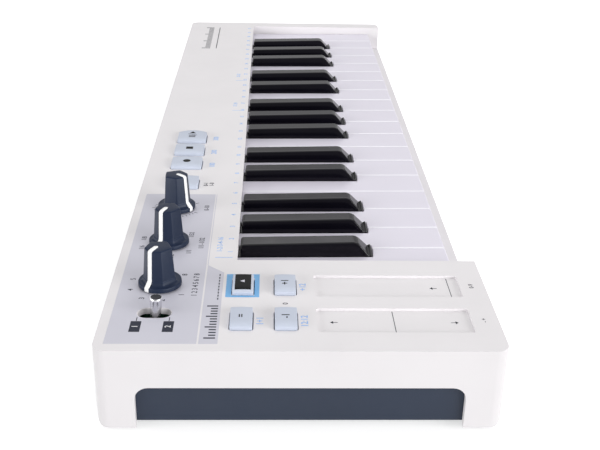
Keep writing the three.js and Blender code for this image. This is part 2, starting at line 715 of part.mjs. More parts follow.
function powerInlet() {
  const { x, half, bore, pin } = POWER_INLET;
  const y = [SOCKET_FACE - 13, SOCKET_FACE];
  const body = box([x - half, x + half], y, [SOCKET_BASE - 1, MINI_JACK_AXIS_Z + half]);
  const hole = bar([x, MINI_JACK_AXIS_Z], bore, [y[0] + 2, y[1] + 1], 16);
  return joined(cut(body, hole), bar([x, MINI_JACK_AXIS_Z], pin, [y[0] + 1, y[1] - 1], 8));
}

function dipSwitch() {
  const { x, width, top } = DIP_SWITCH;
  const y = [SOCKET_FACE - 7, SOCKET_FACE];
  return box([x - width / 2 + 0.4, x + width / 2 - 0.4], y, [SOCKET_BASE - 1, top - 0.4]);
}

function connectorBoard() {
  const z = [CONNECTOR_BOARD_BOTTOM, CONNECTOR_BOARD_BOTTOM + BOARD_THICKNESS];
  const sheet = box([214, 462], [STEM_REAR + 3, SOCKET_FACE - 1], z);
  return joined(sheet, ...MINI_JACK_X.map(miniJack), dataSocket(), powerInlet(), dipSwitch());
}

function touchSensor([x0, x1]) {
  return box([x0 + 1, x1 - 1], [STRIP_FRONT + 1, STRIP_REAR - 1], [SENSOR_BOTTOM, SENSOR_TOP]);
}

// ---- Assembly ----------------------------------------------------------------------------
addPart('top_case', topCase(), shellWhite);
addPart('bottom_tray', bottomTray(), slate);
for (const [name, place] of Object.entries(footPlaces())) {
  addPart(name, post(place, FOOT_RADIUS, [-FOOT_HEIGHT, TRAY_BOTTOM - FIT_GAP], 20), rubber);
}

addPart('keybed_frame', keybedFrame(), chassis);
addPart('key_contact_board', contactBoard(), board);
addPart('rubber_contact_strip', contactStrip(), contactRubber);
addKeys();

addPart('control_board', controlBoard(), board);
for (const [name, place] of Object.entries(SMALL_BUTTONS)) {
  addPart(name, buttonCap(place, SMALL_CAP), capGrey);
}
for (const [name, place] of Object.entries(TRANSPORT_BUTTONS)) {
  addPart(name, buttonCap(place, TALL_CAP), capGrey);
}
addPart('play_button', buttonCap(PLAY_BUTTON, ARCHED_CAP), capGrey);
for (const [name, x] of Object.entries(KNOB_X)) {
  addPart(name, knob(x), knobNavy);
}
const lever = addPart('toggle_lever', toggleLever(), chrome);
lever.position.set(TOGGLE_X, TOGGLE_Y, TOGGLE_PIVOT_Z);
lever.rotation.x = TOGGLE_LEAN;
addPart('pitch_touch_sensor', touchSensor(PITCH_STRIP), board);
addPart('mod_touch_sensor', touchSensor(MOD_STRIP), board);

addPart('connector_board', connectorBoard(), board);
addPart('sustain_jack', sustainJack(), socketBlack);
for (const [name, x] of Object.entries(MIDI_X)) {
  addPart(name, midiSocket(x), socketBlack);
}

export default synthesizer;
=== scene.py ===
"""The looks of a slim keyboard synthesizer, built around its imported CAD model.

Every length in the constants is in millimetres unless its name says otherwise; MM turns it into
Blender's metres. Places on the deck are measured from the case's front left corner: x along the
keyboard, y to the rear.
"""

import json
import math

import bmesh
import bpy
from mathutils import Matrix, Vector


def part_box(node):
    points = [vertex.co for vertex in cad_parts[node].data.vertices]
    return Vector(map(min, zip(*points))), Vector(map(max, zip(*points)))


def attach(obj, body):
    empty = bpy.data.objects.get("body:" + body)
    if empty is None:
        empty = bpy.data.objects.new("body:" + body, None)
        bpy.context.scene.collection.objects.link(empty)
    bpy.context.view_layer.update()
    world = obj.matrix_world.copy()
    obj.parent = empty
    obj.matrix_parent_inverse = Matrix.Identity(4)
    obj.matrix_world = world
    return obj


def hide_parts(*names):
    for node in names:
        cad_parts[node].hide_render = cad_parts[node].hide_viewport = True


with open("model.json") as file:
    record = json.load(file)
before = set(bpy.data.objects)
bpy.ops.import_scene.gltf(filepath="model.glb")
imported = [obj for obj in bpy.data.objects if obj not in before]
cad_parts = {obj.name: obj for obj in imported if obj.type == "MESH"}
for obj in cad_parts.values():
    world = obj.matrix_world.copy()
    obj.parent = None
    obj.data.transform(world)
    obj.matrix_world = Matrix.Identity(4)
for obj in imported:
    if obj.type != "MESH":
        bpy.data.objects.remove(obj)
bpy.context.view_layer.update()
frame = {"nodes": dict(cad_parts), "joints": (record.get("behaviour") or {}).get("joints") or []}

MM = 0.001
CASE_LOW, CASE_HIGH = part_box("top_case")
DECK = CASE_HIGH.z


def nodes_named(start):
    return [name for name in sorted(frame["nodes"]) if name.startswith(start)]


WHITE_KEYS = nodes_named("white_key")
BLACK_KEYS = nodes_named("black_key")
FEET = nodes_named("foot_")
KNOBS = ["mode_knob", "division_knob", "rate_knob"]
SMALL_BUTTONS = ["shift_button", "hold_button", "octave_up_button", "octave_down_button"]
TRANSPORT_BUTTONS = ["tie_button", "record_button", "stop_button", "play_button"]
TOUCH_SENSORS = ["pitch_touch_sensor", "mod_touch_sensor"]

# A button's cap is narrower than its body by the hidden flange, and clears its hole by the gap.
CAP_FLANGE = 1.2
CAP_HOLE_GAP = 0.35
RECESS_DEPTH = 1.1
# How far ink stands above its surface and reaches below it.
PRINT_HEIGHT = 0.03
PRINT_SINK = 0.02
INK_DARK = "ink_dark"
INK_BLUE = "ink_blue"
INK_GREY = "ink_grey"
INK_SKY = "ink_sky"
INK_WHITE = "ink_white"
INK_BLACK = "ink_black"


def spot(x, y, above=0.0):
    """A point of the deck, or above it, in the row frame."""
    return Vector((CASE_LOW.x + x * MM, CASE_LOW.y + y * MM, DECK + above * MM))


def on_deck(point):
    """Where a point of the row frame is on the deck, in mm."""
    return (point.x - CASE_LOW.x) / MM, (point.y - CASE_LOW.y) / MM


def centre_of(node):
    low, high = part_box(node)
    return (low + high) / 2


# ---- Materials ----
# Noise scales, per metre of the object, for drifts of colour and of gloss.
COLOUR_DRIFT_SCALE = 35.0
GLOSS_DRIFT_SCALE = 120.0
GLOSS_DRIFT = 0.04
# Noise stays near its middle, so only this part of its range is used.
COLOUR_NOISE_SPAN = (0.35, 0.65)
GLOSS_NOISE_SPAN = (0.3, 0.7)
GRAIN_DEPTH = 0.00008
TRACK_SCALE = 120.0
TRACK_WIDTH = 0.08
TRACK_DEPTH = 0.0001


MATERIALS = {}


def linear(red, green, blue):
    """An sRGB colour in 0..255 as the linear colour that a shader takes."""
    def channel(value):
        share = value / 255
        return share / 12.92 if share <= 0.04045 else ((share + 0.055) / 1.055) ** 2.4

    return (channel(red), channel(green), channel(blue), 1.0)


def set_inputs(node, values):
    """Sets a shader node's constant inputs by their names."""
    for socket, value in values.items():
        node.inputs[socket].default_value = value


def shaded(name, settings):
    """A new material, kept under its name, with its node tree and its Principled shader."""
    material = bpy.data.materials.new(name)
    material.use_nodes = True
    shader = material.node_tree.nodes["Principled BSDF"]
    set_inputs(shader, settings)
    MATERIALS[name] = material
    return material.node_tree, shader


def noise(tree, scale, detail=2.0, roughness=0.5):
    place = tree.nodes.new("ShaderNodeTexCoord")
    texture = tree.nodes.new("ShaderNodeTexNoise")
    set_inputs(texture, {"Scale": scale, "Detail": detail, "Roughness": roughness})
    tree.links.new(place.outputs["Object"], texture.inputs["Vector"])
    return texture.outputs["Fac"]


def tinted(tree, factor, dark, light):
    """A colour that drifts between two shades with the factor."""
    ramp = tree.nodes.new("ShaderNodeValToRGB")
    for element, position, colour in zip(ramp.color_ramp.elements, COLOUR_NOISE_SPAN, (dark, light)):
        element.position = position
        element.color = colour
    tree.links.new(factor, ramp.inputs["Fac"])
    return ramp.outputs["Color"]


def ranged(tree, factor, low, high):
    """A value that drifts between two others with the factor."""
    spread = tree.nodes.new("ShaderNodeMapRange")
    lowest, highest = GLOSS_NOISE_SPAN
    set_inputs(spread, {"From Min": lowest, "From Max": highest, "To Min": low, "To Max": high})
    tree.links.new(factor, spread.inputs["Value"])
    return spread.outputs["Result"]


def bumped(tree, shader, height, strength, distance):
    bump = tree.nodes.new("ShaderNodeBump")
    set_inputs(bump, {"Strength": strength, "Distance": distance})
    tree.links.new(height, bump.inputs["Height"])
    tree.links.new(bump.outputs["Normal"], shader.inputs["Normal"])


def surface(name, colour, roughness, grain=2600.0, strength=0.15, drift=0.03, **settings):
    """A moulded or painted surface: a slightly drifting colour, a fine grain and uneven gloss."""
    inputs = {key.replace("_", " "): value for key, value in settings.items()}
    tree, shader = shaded(name, inputs)
    red, green, blue, _ = linear(*colour)
    dark = tuple(channel * (1 - drift) for channel in (red, green, blue)) + (1.0,)
    light = tuple(min(1.0, channel * (1 + drift)) for channel in (red, green, blue)) + (1.0,)
    base = tinted(tree, noise(tree, COLOUR_DRIFT_SCALE), dark, light)
    tree.links.new(base, shader.inputs["Base Color"])
    drifting = noise(tree, GLOSS_DRIFT_SCALE, 3.0)
    gloss = ranged(tree, drifting, roughness - GLOSS_DRIFT, roughness + GLOSS_DRIFT)
    tree.links.new(gloss, shader.inputs["Roughness"])
    bumped(tree, shader, noise(tree, grain, 3.0, 0.6), strength, GRAIN_DEPTH)
    return shader


def circuit_board_surface():
    """Near-black green solder mask over faint copper tracks, darker than a usual board so that the
    board seen through the deck's holes shows as the shade inside them: partly painted shade.
    """
    tree, shader = shaded("circuit_board", {"Roughness": 0.35})
    place = tree.nodes.new("ShaderNodeTexCoord")
    bricks = tree.nodes.new("ShaderNodeTexBrick")
    set_inputs(bricks, {
        "Scale": TRACK_SCALE,
        "Mortar Size": TRACK_WIDTH,
        "Color1": linear(9, 32, 22),
        "Color2": linear(10, 36, 25),
        "Mortar": linear(22, 60, 42),
    })
    tree.links.new(place.outputs["Object"], bricks.inputs["Vector"])
    tree.links.new(bricks.outputs["Color"], shader.inputs["Base Color"])
    bumped(tree, shader, bricks.outputs["Fac"], 0.2, TRACK_DEPTH)


def make_case_surfaces():
    surface("shell", (226, 223, 225), 0.42, strength=0.12, drift=0.012)
    surface("tray", (22, 35, 55), 0.5, grain=1800.0, strength=0.25, drift=0.04)
    surface("foot_rubber", (30, 30, 32), 0.85, strength=0.5)
    surface("screw_steel", (60, 61, 65), 0.35, Metallic=1.0)


def make_inner_surfaces():
    surface("chassis", (112, 116, 120), 0.5)
    surface("contact_rubber", (140, 142, 146), 0.8)
    surface("socket", (24, 24, 27), 0.4)
    circuit_board_surface()


def make_key_surfaces():
    """Glossy keys. A white key's rounded edges take a lighter copy of its colour, a painted highlight;
    a black key's rounded edges are glossier than its flat faces.
    """
    white = {"grain": 900.0, "strength": 0.03, "drift": 0.008}
    surface("white_key", (222, 218, 230), 0.32, **white)
    # A painted highlight: the white keys' rounded edges are painted lighter than their tops.
    surface("white_key_edge", (242, 240, 247), 0.32, **white)
    black = {"grain": 1500.0, "strength": 0.02, "drift": 0.1}
    tint = (0.95, 0.9, 1.0, 1.0)
    surface("black_key", (10, 9, 16), 0.14, **black, Specular_IOR_Level=0.24, Specular_Tint=tint)
    surface("black_key_edge", (10, 9, 16), 0.1, **black, Specular_IOR_Level=1.0)


def make_control_surfaces():
    """Painted shading on the knobs' tops: their upward faces take a copy of the knob material with a
    lighter colour and far weaker reflection than the sides.
    """
    knob = {"strength": 0.12, "drift": 0.05, "Specular_Tint": (0.82, 0.88, 1.0, 1.0)}
    surface("knob", (20, 31, 53), 0.45, **knob, Specular_IOR_Level=0.4)
    # The copy for the knobs' upward faces: painted shading of the top.
    knob["Specular_Tint"] = (0.75, 0.85, 1.0, 1.0)
    surface("knob_top_painted_shading", (34, 43, 64), 0.4, **knob, Specular_IOR_Level=0.12)
    surface("pointer", (250, 250, 250), 0.4, drift=0.01)
    surface("button_cap", (189, 196, 211), 0.5, drift=0.015)
    surface("chrome", (220, 220, 224), 0.24, grain=700.0, strength=0.02, Metallic=1.0)


def make_inks():
    surface(INK_DARK, (46, 49, 62), 0.6, drift=0.06, Specular_IOR_Level=0.2)
    surface(INK_BLUE, (150, 186, 236), 0.6, drift=0.04)
    surface(INK_SKY, (108, 172, 222), 0.5, drift=0.03)
    surface(INK_GREY, (200, 199, 210), 0.5, drift=0.012)
    surface(INK_WHITE, (245, 245, 247), 0.5, drift=0.01)
    surface(INK_BLACK, (11, 11, 13), 0.5, drift=0.08, Specular_IOR_Level=0.12)


# ---- Pieces ----
# Angles in degrees: between faces that may be rounded off, and between faces shaded apart.
OUTER_CORNER = 30
CREASE = 38
WELD_DISTANCE = 1e-6


def piece(name, mesh, material, body, replaced=()):
    """Turns a finished bmesh into an object that rides on a body."""
    data = bpy.data.meshes.new(name)
    mesh.to_mesh(data)
    mesh.free()
    data.materials.append(MATERIALS[material])
    made = bpy.data.objects.new(name, data)
    bpy.context.scene.collection.objects.link(made)
    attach(made, body)
    if replaced:
        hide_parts(*replaced)
    return made


def clean_copy(node):
    """A bmesh of a CAD node with its doubled corners welded and its flat faces made whole."""
    mesh = bmesh.new()
    mesh.from_mesh(frame["nodes"][node].data)
    bmesh.ops.remove_doubles(mesh, verts=mesh.verts, dist=WELD_DISTANCE)
    bmesh.ops.dissolve_limit(
        mesh, angle_limit=math.radians(1.0), verts=mesh.verts, edges=mesh.edges,
    )
    return mesh


def is_outer_corner(edge):
    sharp = edge.calc_face_angle(0.0) > math.radians(OUTER_CORNER)
    return len(edge.link_faces) == 2 and edge.is_convex and sharp


def round_edges(mesh, radius, segments, chosen=lambda edge: True):
    """Rounds the outer corners that are chosen."""
    edges = [edge for edge in mesh.edges if is_outer_corner(edge) and chosen(edge)]
    bmesh.ops.bevel(
        mesh, geom=edges, offset=radius * MM, segments=segments, profile=0.5,
        affect="EDGES", clamp_overlap=True,
    )


def shade(mesh, crease=CREASE):
    """Smooth shading everywhere but across edges sharper than this many degrees."""
    for face in mesh.faces:
        face.smooth = True
    for edge in mesh.edges:
        edge.smooth = edge.calc_face_angle(0.0) < math.radians(crease)


def repaint(made, belongs, material):
    """Gives a second material to the faces whose normal belongs to it."""
    made.data.materials.append(MATERIALS[material])
    for polygon in made.data.polygons:
        polygon.material_index = 1 if belongs(polygon.normal) else 0


def keep_flats_flat(made):
    """Shades small rounded faces towards the large flat ones beside them."""
    weighted = made.modifiers.new("weighted", "WEIGHTED_NORMAL")
    weighted.keep_sharp = True
    weighted.mode = "FACE_AREA"


def refine(node, slot, radius, segments):
    """A case piece made of its CAD node with rounded edges, standing for that node."""
    mesh = clean_copy(node)
    round_edges(mesh, radius, segments)
    shade(mesh)
    keep_flats_flat(piece(node + "_shape", mesh, slot, "case", [node]))


def loft(mesh, loops):
    """A closed skin over a row of loops that all have the same number of points."""
    rings = [[mesh.verts.new(point) for point in loop] for loop in loops]
    for lower, upper in zip(rings, rings[1:]):
        for index in range(len(lower)):
            after = (index + 1) % len(lower)
            mesh.faces.new((lower[index], lower[after], upper[after], upper[index]))
    mesh.faces.new(list(reversed(rings[0])))
    mesh.faces.new(rings[-1])


def prism(mesh, points, low, high):
    """A flat shape, its corners in mm on the deck, standing from height low to high."""
    corners = [spot(x, y) for x, y in points]
    loft(mesh, [[Vector((corner.x, corner.y, z)) for corner in corners] for z in (low, high)])


def rectangle(left, front, right, rear):
    return [(left, front), (right, front), (right, rear), (left, rear)]


def circle(x, y, radius, steps):
    turns = [2 * math.pi * index / steps for index in range(steps)]
    return [(x + radius * math.cos(turn), y + radius * math.sin(turn)) for turn in turns]


def arc_drop(distance, reach):
    """How far a quarter circle of this reach has fallen away at a distance from its end, 0 to 1."""
    if distance >= reach:
        return 0.0
    return 1 - math.sqrt(1 - (1 - distance / reach) ** 2)


# ---- Case, tray and what is inside ----
SHELL_EDGE = 0.7
HOLE_EDGE = 0.2
TRAY_EDGE = 0.4
FOOT_EDGE = 0.5
# An edge this near to the shell's outer box is on its outside.
OUTSIDE_REACH = 0.6
# An edge this near to a control's box is on the rim of its hole.
HOLE_REACH = 4.5
# How far a recess is wider at the deck, and narrower at its floor, along each axis.
RECESS_LEAN = {"x": 0.12, "y": 0.42}
RECESS_REACH = 4.0
LEVEL_TOLERANCE = 0.05

SCREW_X = [8.5, 90.0, 242.0, 394.0, 465.0]
SCREW_Y = [34.0, 112.0]
SCREW_RADIUS = 2.5
SCREW_STEPS = 20
# Above the case's underside: a head's visible face and the ceiling of its pocket in the tray.
SCREW_FACE = 1.7
SCREW_SEAT = 2.55
# Half the length and half the width of each arm of a screw's cross, painted black as shade in place of
# a recess.
SCREW_CROSS = (1.5, 0.35)


def near_box(point, node, reach):
    """Whether a point is within reach of a node's box, seen from above."""
    low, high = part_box(node)
    near_x = low.x - reach * MM < point.x < high.x + reach * MM
    return near_x and low.y - reach * MM < point.y < high.y + reach * MM


def recess_at(point):
    """The touch strip whose recess holds a point of the shell, or None."""
    return next((node for node in TOUCH_SENSORS if near_box(point, node, RECESS_REACH)), None)


def lean_recess_walls(mesh):
    """A touch strip's floor is smaller than its opening, so the walls between them lean."""
    for vert in mesh.verts:
        node = recess_at(vert.co)
        below = (DECK - vert.co.z) / MM
        if node and below < RECESS_DEPTH + LEVEL_TOLERANCE:
            middle = centre_of(node)
            outward = 1 if below < LEVEL_TOLERANCE else -1
            vert.co.x += math.copysign(outward * RECESS_LEAN["x"] * MM, vert.co.x - middle.x)
            vert.co.y += math.copysign(outward * RECESS_LEAN["y"] * MM, vert.co.y - middle.y)


def finish_case():
    """The shell gets soft edges on its outside, finer ones round the openings of its deck."""
    inner = OUTSIDE_REACH * MM
    controls = KNOBS + SMALL_BUTTONS + TRANSPORT_BUTTONS + ["toggle_lever"]

    def at_hole(middle):
        return any(near_box(middle, node, HOLE_REACH) for node in controls)

    def on_outside(edge):
        middle = (edge.verts[0].co + edge.verts[1].co) / 2
        on_top = middle.z > DECK - inner and not at_hole(middle) and not recess_at(middle)
        on_end = min(middle.x - CASE_LOW.x, CASE_HIGH.x - middle.x) < inner
        on_side = min(middle.y - CASE_LOW.y, CASE_HIGH.y - middle.y) < inner
        return on_top or on_end or on_side

    def on_rim(edge):
        middle = (edge.verts[0].co + edge.verts[1].co) / 2
        return middle.z > DECK - inner and at_hole(middle)

    mesh = clean_copy("top_case")
    lean_recess_walls(mesh)
    round_edges(mesh, HOLE_EDGE, 2, on_rim)
    round_edges(mesh, SHELL_EDGE, 3, on_outside)
    shade(mesh)
    keep_flats_flat(piece("top_case_shape", mesh, "shell", "case", ["top_case"]))


def finish_tray_and_feet():
    refine("bottom_tray", "tray", TRAY_EDGE, 2)
    for node in FEET:
        refine(node, "foot_rubber", FOOT_EDGE, 3)


def finish_inside():
    """Carried-over CAD nodes keep their shapes and take finished materials."""
    inside = {
        "chassis": ["keybed_frame"],
        "contact_rubber": ["rubber_contact_strip"],
        # Partly painted shade: the boards are dark so that the deck's holes show dark.
        "circuit_board": ["key_contact_board", "control_board", *TOUCH_SENSORS],
        "socket": ["connector_board", "sustain_jack", "midi_in_socket", "midi_out_socket"],
    }
    for material, nodes in inside.items():
        for node in nodes:
            data = frame["nodes"][node].data
            data.materials.clear()
            data.materials.append(MATERIALS[material])


def add_screws():
    """Cross-headed screws in the pockets of the tray's underside; each cross is a black mark standing
    on the head, painted shade in place of a recess.
    """
    heads = bmesh.new()
    cross_shades = bmesh.new()
    face = CASE_LOW.z + SCREW_FACE * MM
    seat = CASE_LOW.z + SCREW_SEAT * MM
    long, thin = SCREW_CROSS
    for x in SCREW_X:
        for y in SCREW_Y:
            prism(heads, circle(x, y, SCREW_RADIUS, SCREW_STEPS), face, seat)
            # Painted shade: a black cross stands on the head where its recess would be.
            for half_x, half_y in ((long, thin), (thin, long)):
                arm = rectangle(x - half_x, y - half_y, x + half_x, y + half_y)
                prism(cross_shades, arm, face - PRINT_SINK * MM, face + PRINT_HEIGHT * MM)
    shade(heads)
    piece("case_screws", heads, "screw_steel", "case")
    piece("case_screw_cross_shades", cross_shades, INK_BLACK, "case")


# ---- Keys ----
# Each white key is wider than its solid by this on each side, so that only a fine gap shows.
KEY_SPREAD = 0.12
KEY_TOP_REACH = 4.0
WHITE_LEFT_EDGE = 0.9
WHITE_RIGHT_EDGE = 0.35
SAME_PLACE = 0.01
# A black key from the side: distance behind its front and below its highest line, with how
# far each corner's rounding reaches.
BLACK_SIDE = [
    (0.0, 5.0, 0.25),
    (0.45, 5.0, 0.2),
    (1.3, 5.8, 0.35),
    (6.6, 0.0, 1.9),
    (56.9, 1.3, 1.6),
]
# How far below the highest line a side outline ends, and the sides stop leaning.
BLACK_LINE_FOOT = 12.0
BLACK_LEVEL_DROP = 6.1
BLACK_HALF_TOP = 3.4
BLACK_EDGE = 0.6
# The leaning side is at least this high, and its edge takes at most this share of it.
BLACK_LEAST_LEAN = 0.1
BLACK_EDGE_SHARE = 0.8
BLACK_PLAN_CORNER = 0.5
BLACK_STEM = {"half": 3.6, "low": 20.8, "high": 26.2, "overlap": 1.0}
BLACK_CREASE = 50
# How far a rounded edge's normal leans aside, least and most, and how far it points up.
BLACK_EDGE_LEAN = (0.2, 0.93)
# White key faces leaning aside more than this, and pointing up, are painted lighter: a painted
# highlight.
WHITE_HIGHLIGHT_LEAN = 0.15
EDGE_UP = 0.1
ROUND_STEPS = 6


def eased(before, corner, after, reach):
    """Points of the curve that replaces a corner, from reach before it to reach after it."""
    start = corner + (before - corner).normalized() * reach
    end = corner + (after - corner).normalized() * reach
    points = []
    for index in range(ROUND_STEPS + 1):
        share = index / ROUND_STEPS
        points.append(start.lerp(corner, share).lerp(corner.lerp(end, share), share))
    return points


def black_key_line():
    """The upper outline of a black key as (behind, below) points, every corner rounded."""
    corners = [Vector((behind, below)) for behind, below, _ in BLACK_SIDE]
    front, rear = corners[0].x, corners[-1].x
    corners = [Vector((front, BLACK_LINE_FOOT)), *corners, Vector((rear, BLACK_LINE_FOOT))]
    line = []
    for index, (_, _, reach) in enumerate(BLACK_SIDE, start=1):
        line += eased(corners[index - 1], corners[index], corners[index + 1], reach)
    return line


def black_key_section(x, y, base, below, top, bottom, inset):
    """One cross-section: upright sides, then leaning ones, then a flat top with round edges."""
    level = top - BLACK_LEVEL_DROP * MM
    high = top - below * MM
    lean = (base - BLACK_HALF_TOP * MM) / (BLACK_LEVEL_DROP * MM)
    width = base - inset
    half = width - lean * max(0.0, high - level)
    foot = min(level, high - BLACK_LEAST_LEAN * MM)
    shoulder = Vector((half, high))
    reach = min(BLACK_EDGE * MM, BLACK_EDGE_SHARE * (high - foot))
    right = [Vector((width, bottom)), Vector((width, foot))]
    right += eased(Vector((width, foot)), shoulder, Vector((0.0, high)), reach)
    outline = right + [Vector((-point.x, point.y)) for point in reversed(right)]
    return [Vector((x + point.x, y, point.y)) for point in outline]


def black_key_body(mesh, node):
    """The key's cross-sections along its length, narrower at both ends for round corners."""
    low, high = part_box(node)
    middle = (low.x + high.x) / 2
    base = (high.x - low.x) / 2
    loops = []
    for behind, below in black_key_line():
        from_end = max(0.0, min(behind, BLACK_SIDE[-1][0] - behind))
        inset = BLACK_PLAN_CORNER * arc_drop(from_end, BLACK_PLAN_CORNER) * MM
        loops.append(black_key_section(
            middle, low.y + behind * MM, base, below, high.z, low.z, inset,
        ))
    loft(mesh, loops)


def black_key_stem(mesh, node):
    """The lower bar behind the key that runs back to its hinge."""
    low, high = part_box(node)
    middle = (low.x + high.x) / 2
    half = BLACK_STEM["half"] * MM
    bottom, top = (CASE_LOW.z + BLACK_STEM[level] * MM for level in ("low", "high"))
    front = low.y + (BLACK_SIDE[-1][0] - BLACK_STEM["overlap"]) * MM
    corners = [(-half, bottom), (-half, top), (half, top), (half, bottom)]
    loft(mesh, [[Vector((middle + x, y, z)) for x, z in corners] for y in (front, high.y)])


def key_piece(node, mesh, look, is_edge):
    made = piece(node + "_shape", mesh, look, node, [node])
    keep_flats_flat(made)
    # Edge faces take a second material: a lighter colour on white keys, a painted highlight; a
    # glossier finish on black keys.
    repaint(made, is_edge, look + "_edge")


def is_black_edge(normal):
    least, most = BLACK_EDGE_LEAN
    return least < abs(normal.x) < most and normal.z > EDGE_UP


def black_key(node):
    mesh = bmesh.new()
    black_key_body(mesh, node)
    black_key_stem(mesh, node)
    bmesh.ops.recalc_face_normals(mesh, faces=mesh.faces)
    shade(mesh, BLACK_CREASE)
    key_piece(node, mesh, "black_key", is_black_edge)


# The white key faces that are painted lighter: a painted highlight on the rounded edges.
def is_white_highlight_face(normal):
    return abs(normal.x) > WHITE_HIGHLIGHT_LEAN and normal.z > EDGE_UP


def white_key(node):
    """The key nearly closes the gap to its neighbours; its left and front edges are rounder."""
    low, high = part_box(node)
    mesh = clean_copy(node)
    for vert in mesh.verts:
        for side, out in ((low.x, -KEY_SPREAD), (high.x, KEY_SPREAD)):
            if abs(vert.co.x - side) < SAME_PLACE * MM:
                vert.co.x = side + out * MM

    def at_top(edge):
        return min(vert.co.z for vert in edge.verts) > high.z - KEY_TOP_REACH * MM

    def faces_right(edge):
        return any(face.normal.x > 0.5 for face in edge.link_faces)

    round_edges(mesh, WHITE_LEFT_EDGE, 4, lambda edge: at_top(edge) and not faces_right(edge))
    round_edges(mesh, WHITE_RIGHT_EDGE, 2, lambda edge: at_top(edge) and faces_right(edge))
    shade(mesh)
    # Its rounded edges get the painted highlight.
    key_piece(node, mesh, "white_key", is_white_highlight_face)


def finish_keys():
    for node in WHITE_KEYS:
        white_key(node)
    for node in BLACK_KEYS:
        black_key(node)


# ---- Knobs ----
# Heights above the deck, radii, and how faceted the knob is there.
KNOB_PROFILE = [
    (0.5, 8.2, 0.0),
    (0.6, 8.5, 0.0),
    (1.9, 8.5, 0.0),
    (2.2, 8.42, 0.0),
    (2.38, 8.2, 0.0),
    (2.42, 7.9, 0.0),
    (2.5, 7.4, 0.3),
    (2.75, 7.0, 0.8),
    (3.2, 6.8, 1.0),
    (3.75, 6.72, 1.0),
    (3.95, 6.62, 1.0),
    (4.15, 6.45, 1.0),
    (4.5, 6.4, 1.0),
    (16.2, 5.5, 1.0),
    (16.5, 5.4, 1.0),
    (16.72, 5.15, 0.97),
    (16.85, 4.7, 0.85),
    (17.0, 3.6, 0.5),
    (17.1, 1.8, 0.0),
]
KNOB_SHAFT = [(-5.5, 3.0, 0.0), (0.5, 3.0, 0.0)]
KNOB_CREASE = 60
# Degrees from the pointer at which one flat side meets the next.
KNOB_FACET_EDGES = [12, 49, 107, 180, 253, 311, 348]
KNOB_EDGE_OFFSETS = [1.2, 3.5, 7.0]
KNOB_FACET_STEP = 10
KNOB_FLATNESS = 0.85
KNOB_TOP_UP = 0.6
# Where each pointer stands, in degrees clockwise from the rear, as the player sees it.
POINTER_ANGLES = {"mode_knob": -58, "division_knob": -63, "rate_knob": -146}
POINTER_WIDTH = 1.8
# Between these heights the line goes straight over the hollow between knob and skirt.
POINTER_BRIDGE = (2.3, 4.2)
POINTER_PROUD = 0.12
POINTER_DEPTH = 0.48
POINTER_END_RADIUS = 1.6
# The round end: shares of the half width, along the line and across it.
POINTER_ROUNDING = [(0.0, 1.0), (0.45, 0.9), (0.8, 0.6), (1.0, 0.15)]


def facet_spans():
    edges = [KNOB_FACET_EDGES[-1] - 360] + KNOB_FACET_EDGES
    return list(zip(edges, edges[1:]))


def facet_share(degrees):
    """How far a knob's flat side lies inside its circle at this angle, as a share of the radius."""
    turned = degrees % 360
    if turned > KNOB_FACET_EDGES[-1]:
        turned -= 360
    for start, end in facet_spans():
        if start <= turned <= end:
            half = math.radians((end - start) / 2)
            off = math.radians(turned - (start + end) / 2)
            return 1 - math.cos(half) / math.cos(off)
    return 0.0


def knob_angles():
    """Angles round the knob, close together at each facet's edges so that these are soft."""
    angles = []
    for start, end in facet_spans():
        inner_start = start + KNOB_EDGE_OFFSETS[-1]
        inner_end = end - KNOB_EDGE_OFFSETS[-1]
        width = inner_end - inner_start
        count = max(1, round(width / KNOB_FACET_STEP))
        angles += [start + offset for offset in KNOB_EDGE_OFFSETS[:-1]]
        angles += [inner_start + width * index / count for index in range(count + 1)]
        angles += [end - offset for offset in reversed(KNOB_EDGE_OFFSETS[:-1])]
    return angles


def knob_point(centre, pointer, profile, degrees):
    height, radius, faceted = profile
    radius *= 1 - KNOB_FLATNESS * faceted * facet_share(degrees)
    angle = math.radians(90 - pointer - degrees)
    return Vector((
        centre.x + radius * MM * math.cos(angle),
        centre.y + radius * MM * math.sin(angle),
        DECK + height * MM,
    ))


def is_knob_top(normal):
    return normal.z > KNOB_TOP_UP


def knob_body(node, centre, pointer):
    mesh = bmesh.new()
    angles = [-angle for angle in reversed(knob_angles())]
    loft(mesh, [
        [knob_point(centre, pointer, profile, angle) for angle in angles]
        for profile in KNOB_SHAFT + KNOB_PROFILE
    ])
    bmesh.ops.recalc_face_normals(mesh, faces=mesh.faces)
    shade(mesh, KNOB_CREASE)
    made = piece(node + "_shape", mesh, "knob", node, [node])
    # The upward faces take the painted shading of the knob's top.
    repaint(made, is_knob_top, "knob_top_painted_shading")


def pointer_stations():
    """Height, radius and half width along a pointer, from the skirt to its round end on top."""
    facet = 1 - KNOB_FLATNESS * facet_share(0)
    half = POINTER_WIDTH / 2
    stations = [
        (height, radius * (1 - faceted + faceted * facet), half)
        for height, radius, faceted in KNOB_PROFILE[1:-1]
        if not POINTER_BRIDGE[0] < height < POINTER_BRIDGE[1]
    ]
    top_height, top_radius, _ = KNOB_PROFILE[-1]
    stations.append((top_height, top_radius, half))
    for along, wide in POINTER_ROUNDING:
        stations.append((top_height, POINTER_END_RADIUS - along * half, wide * half))
    return stations


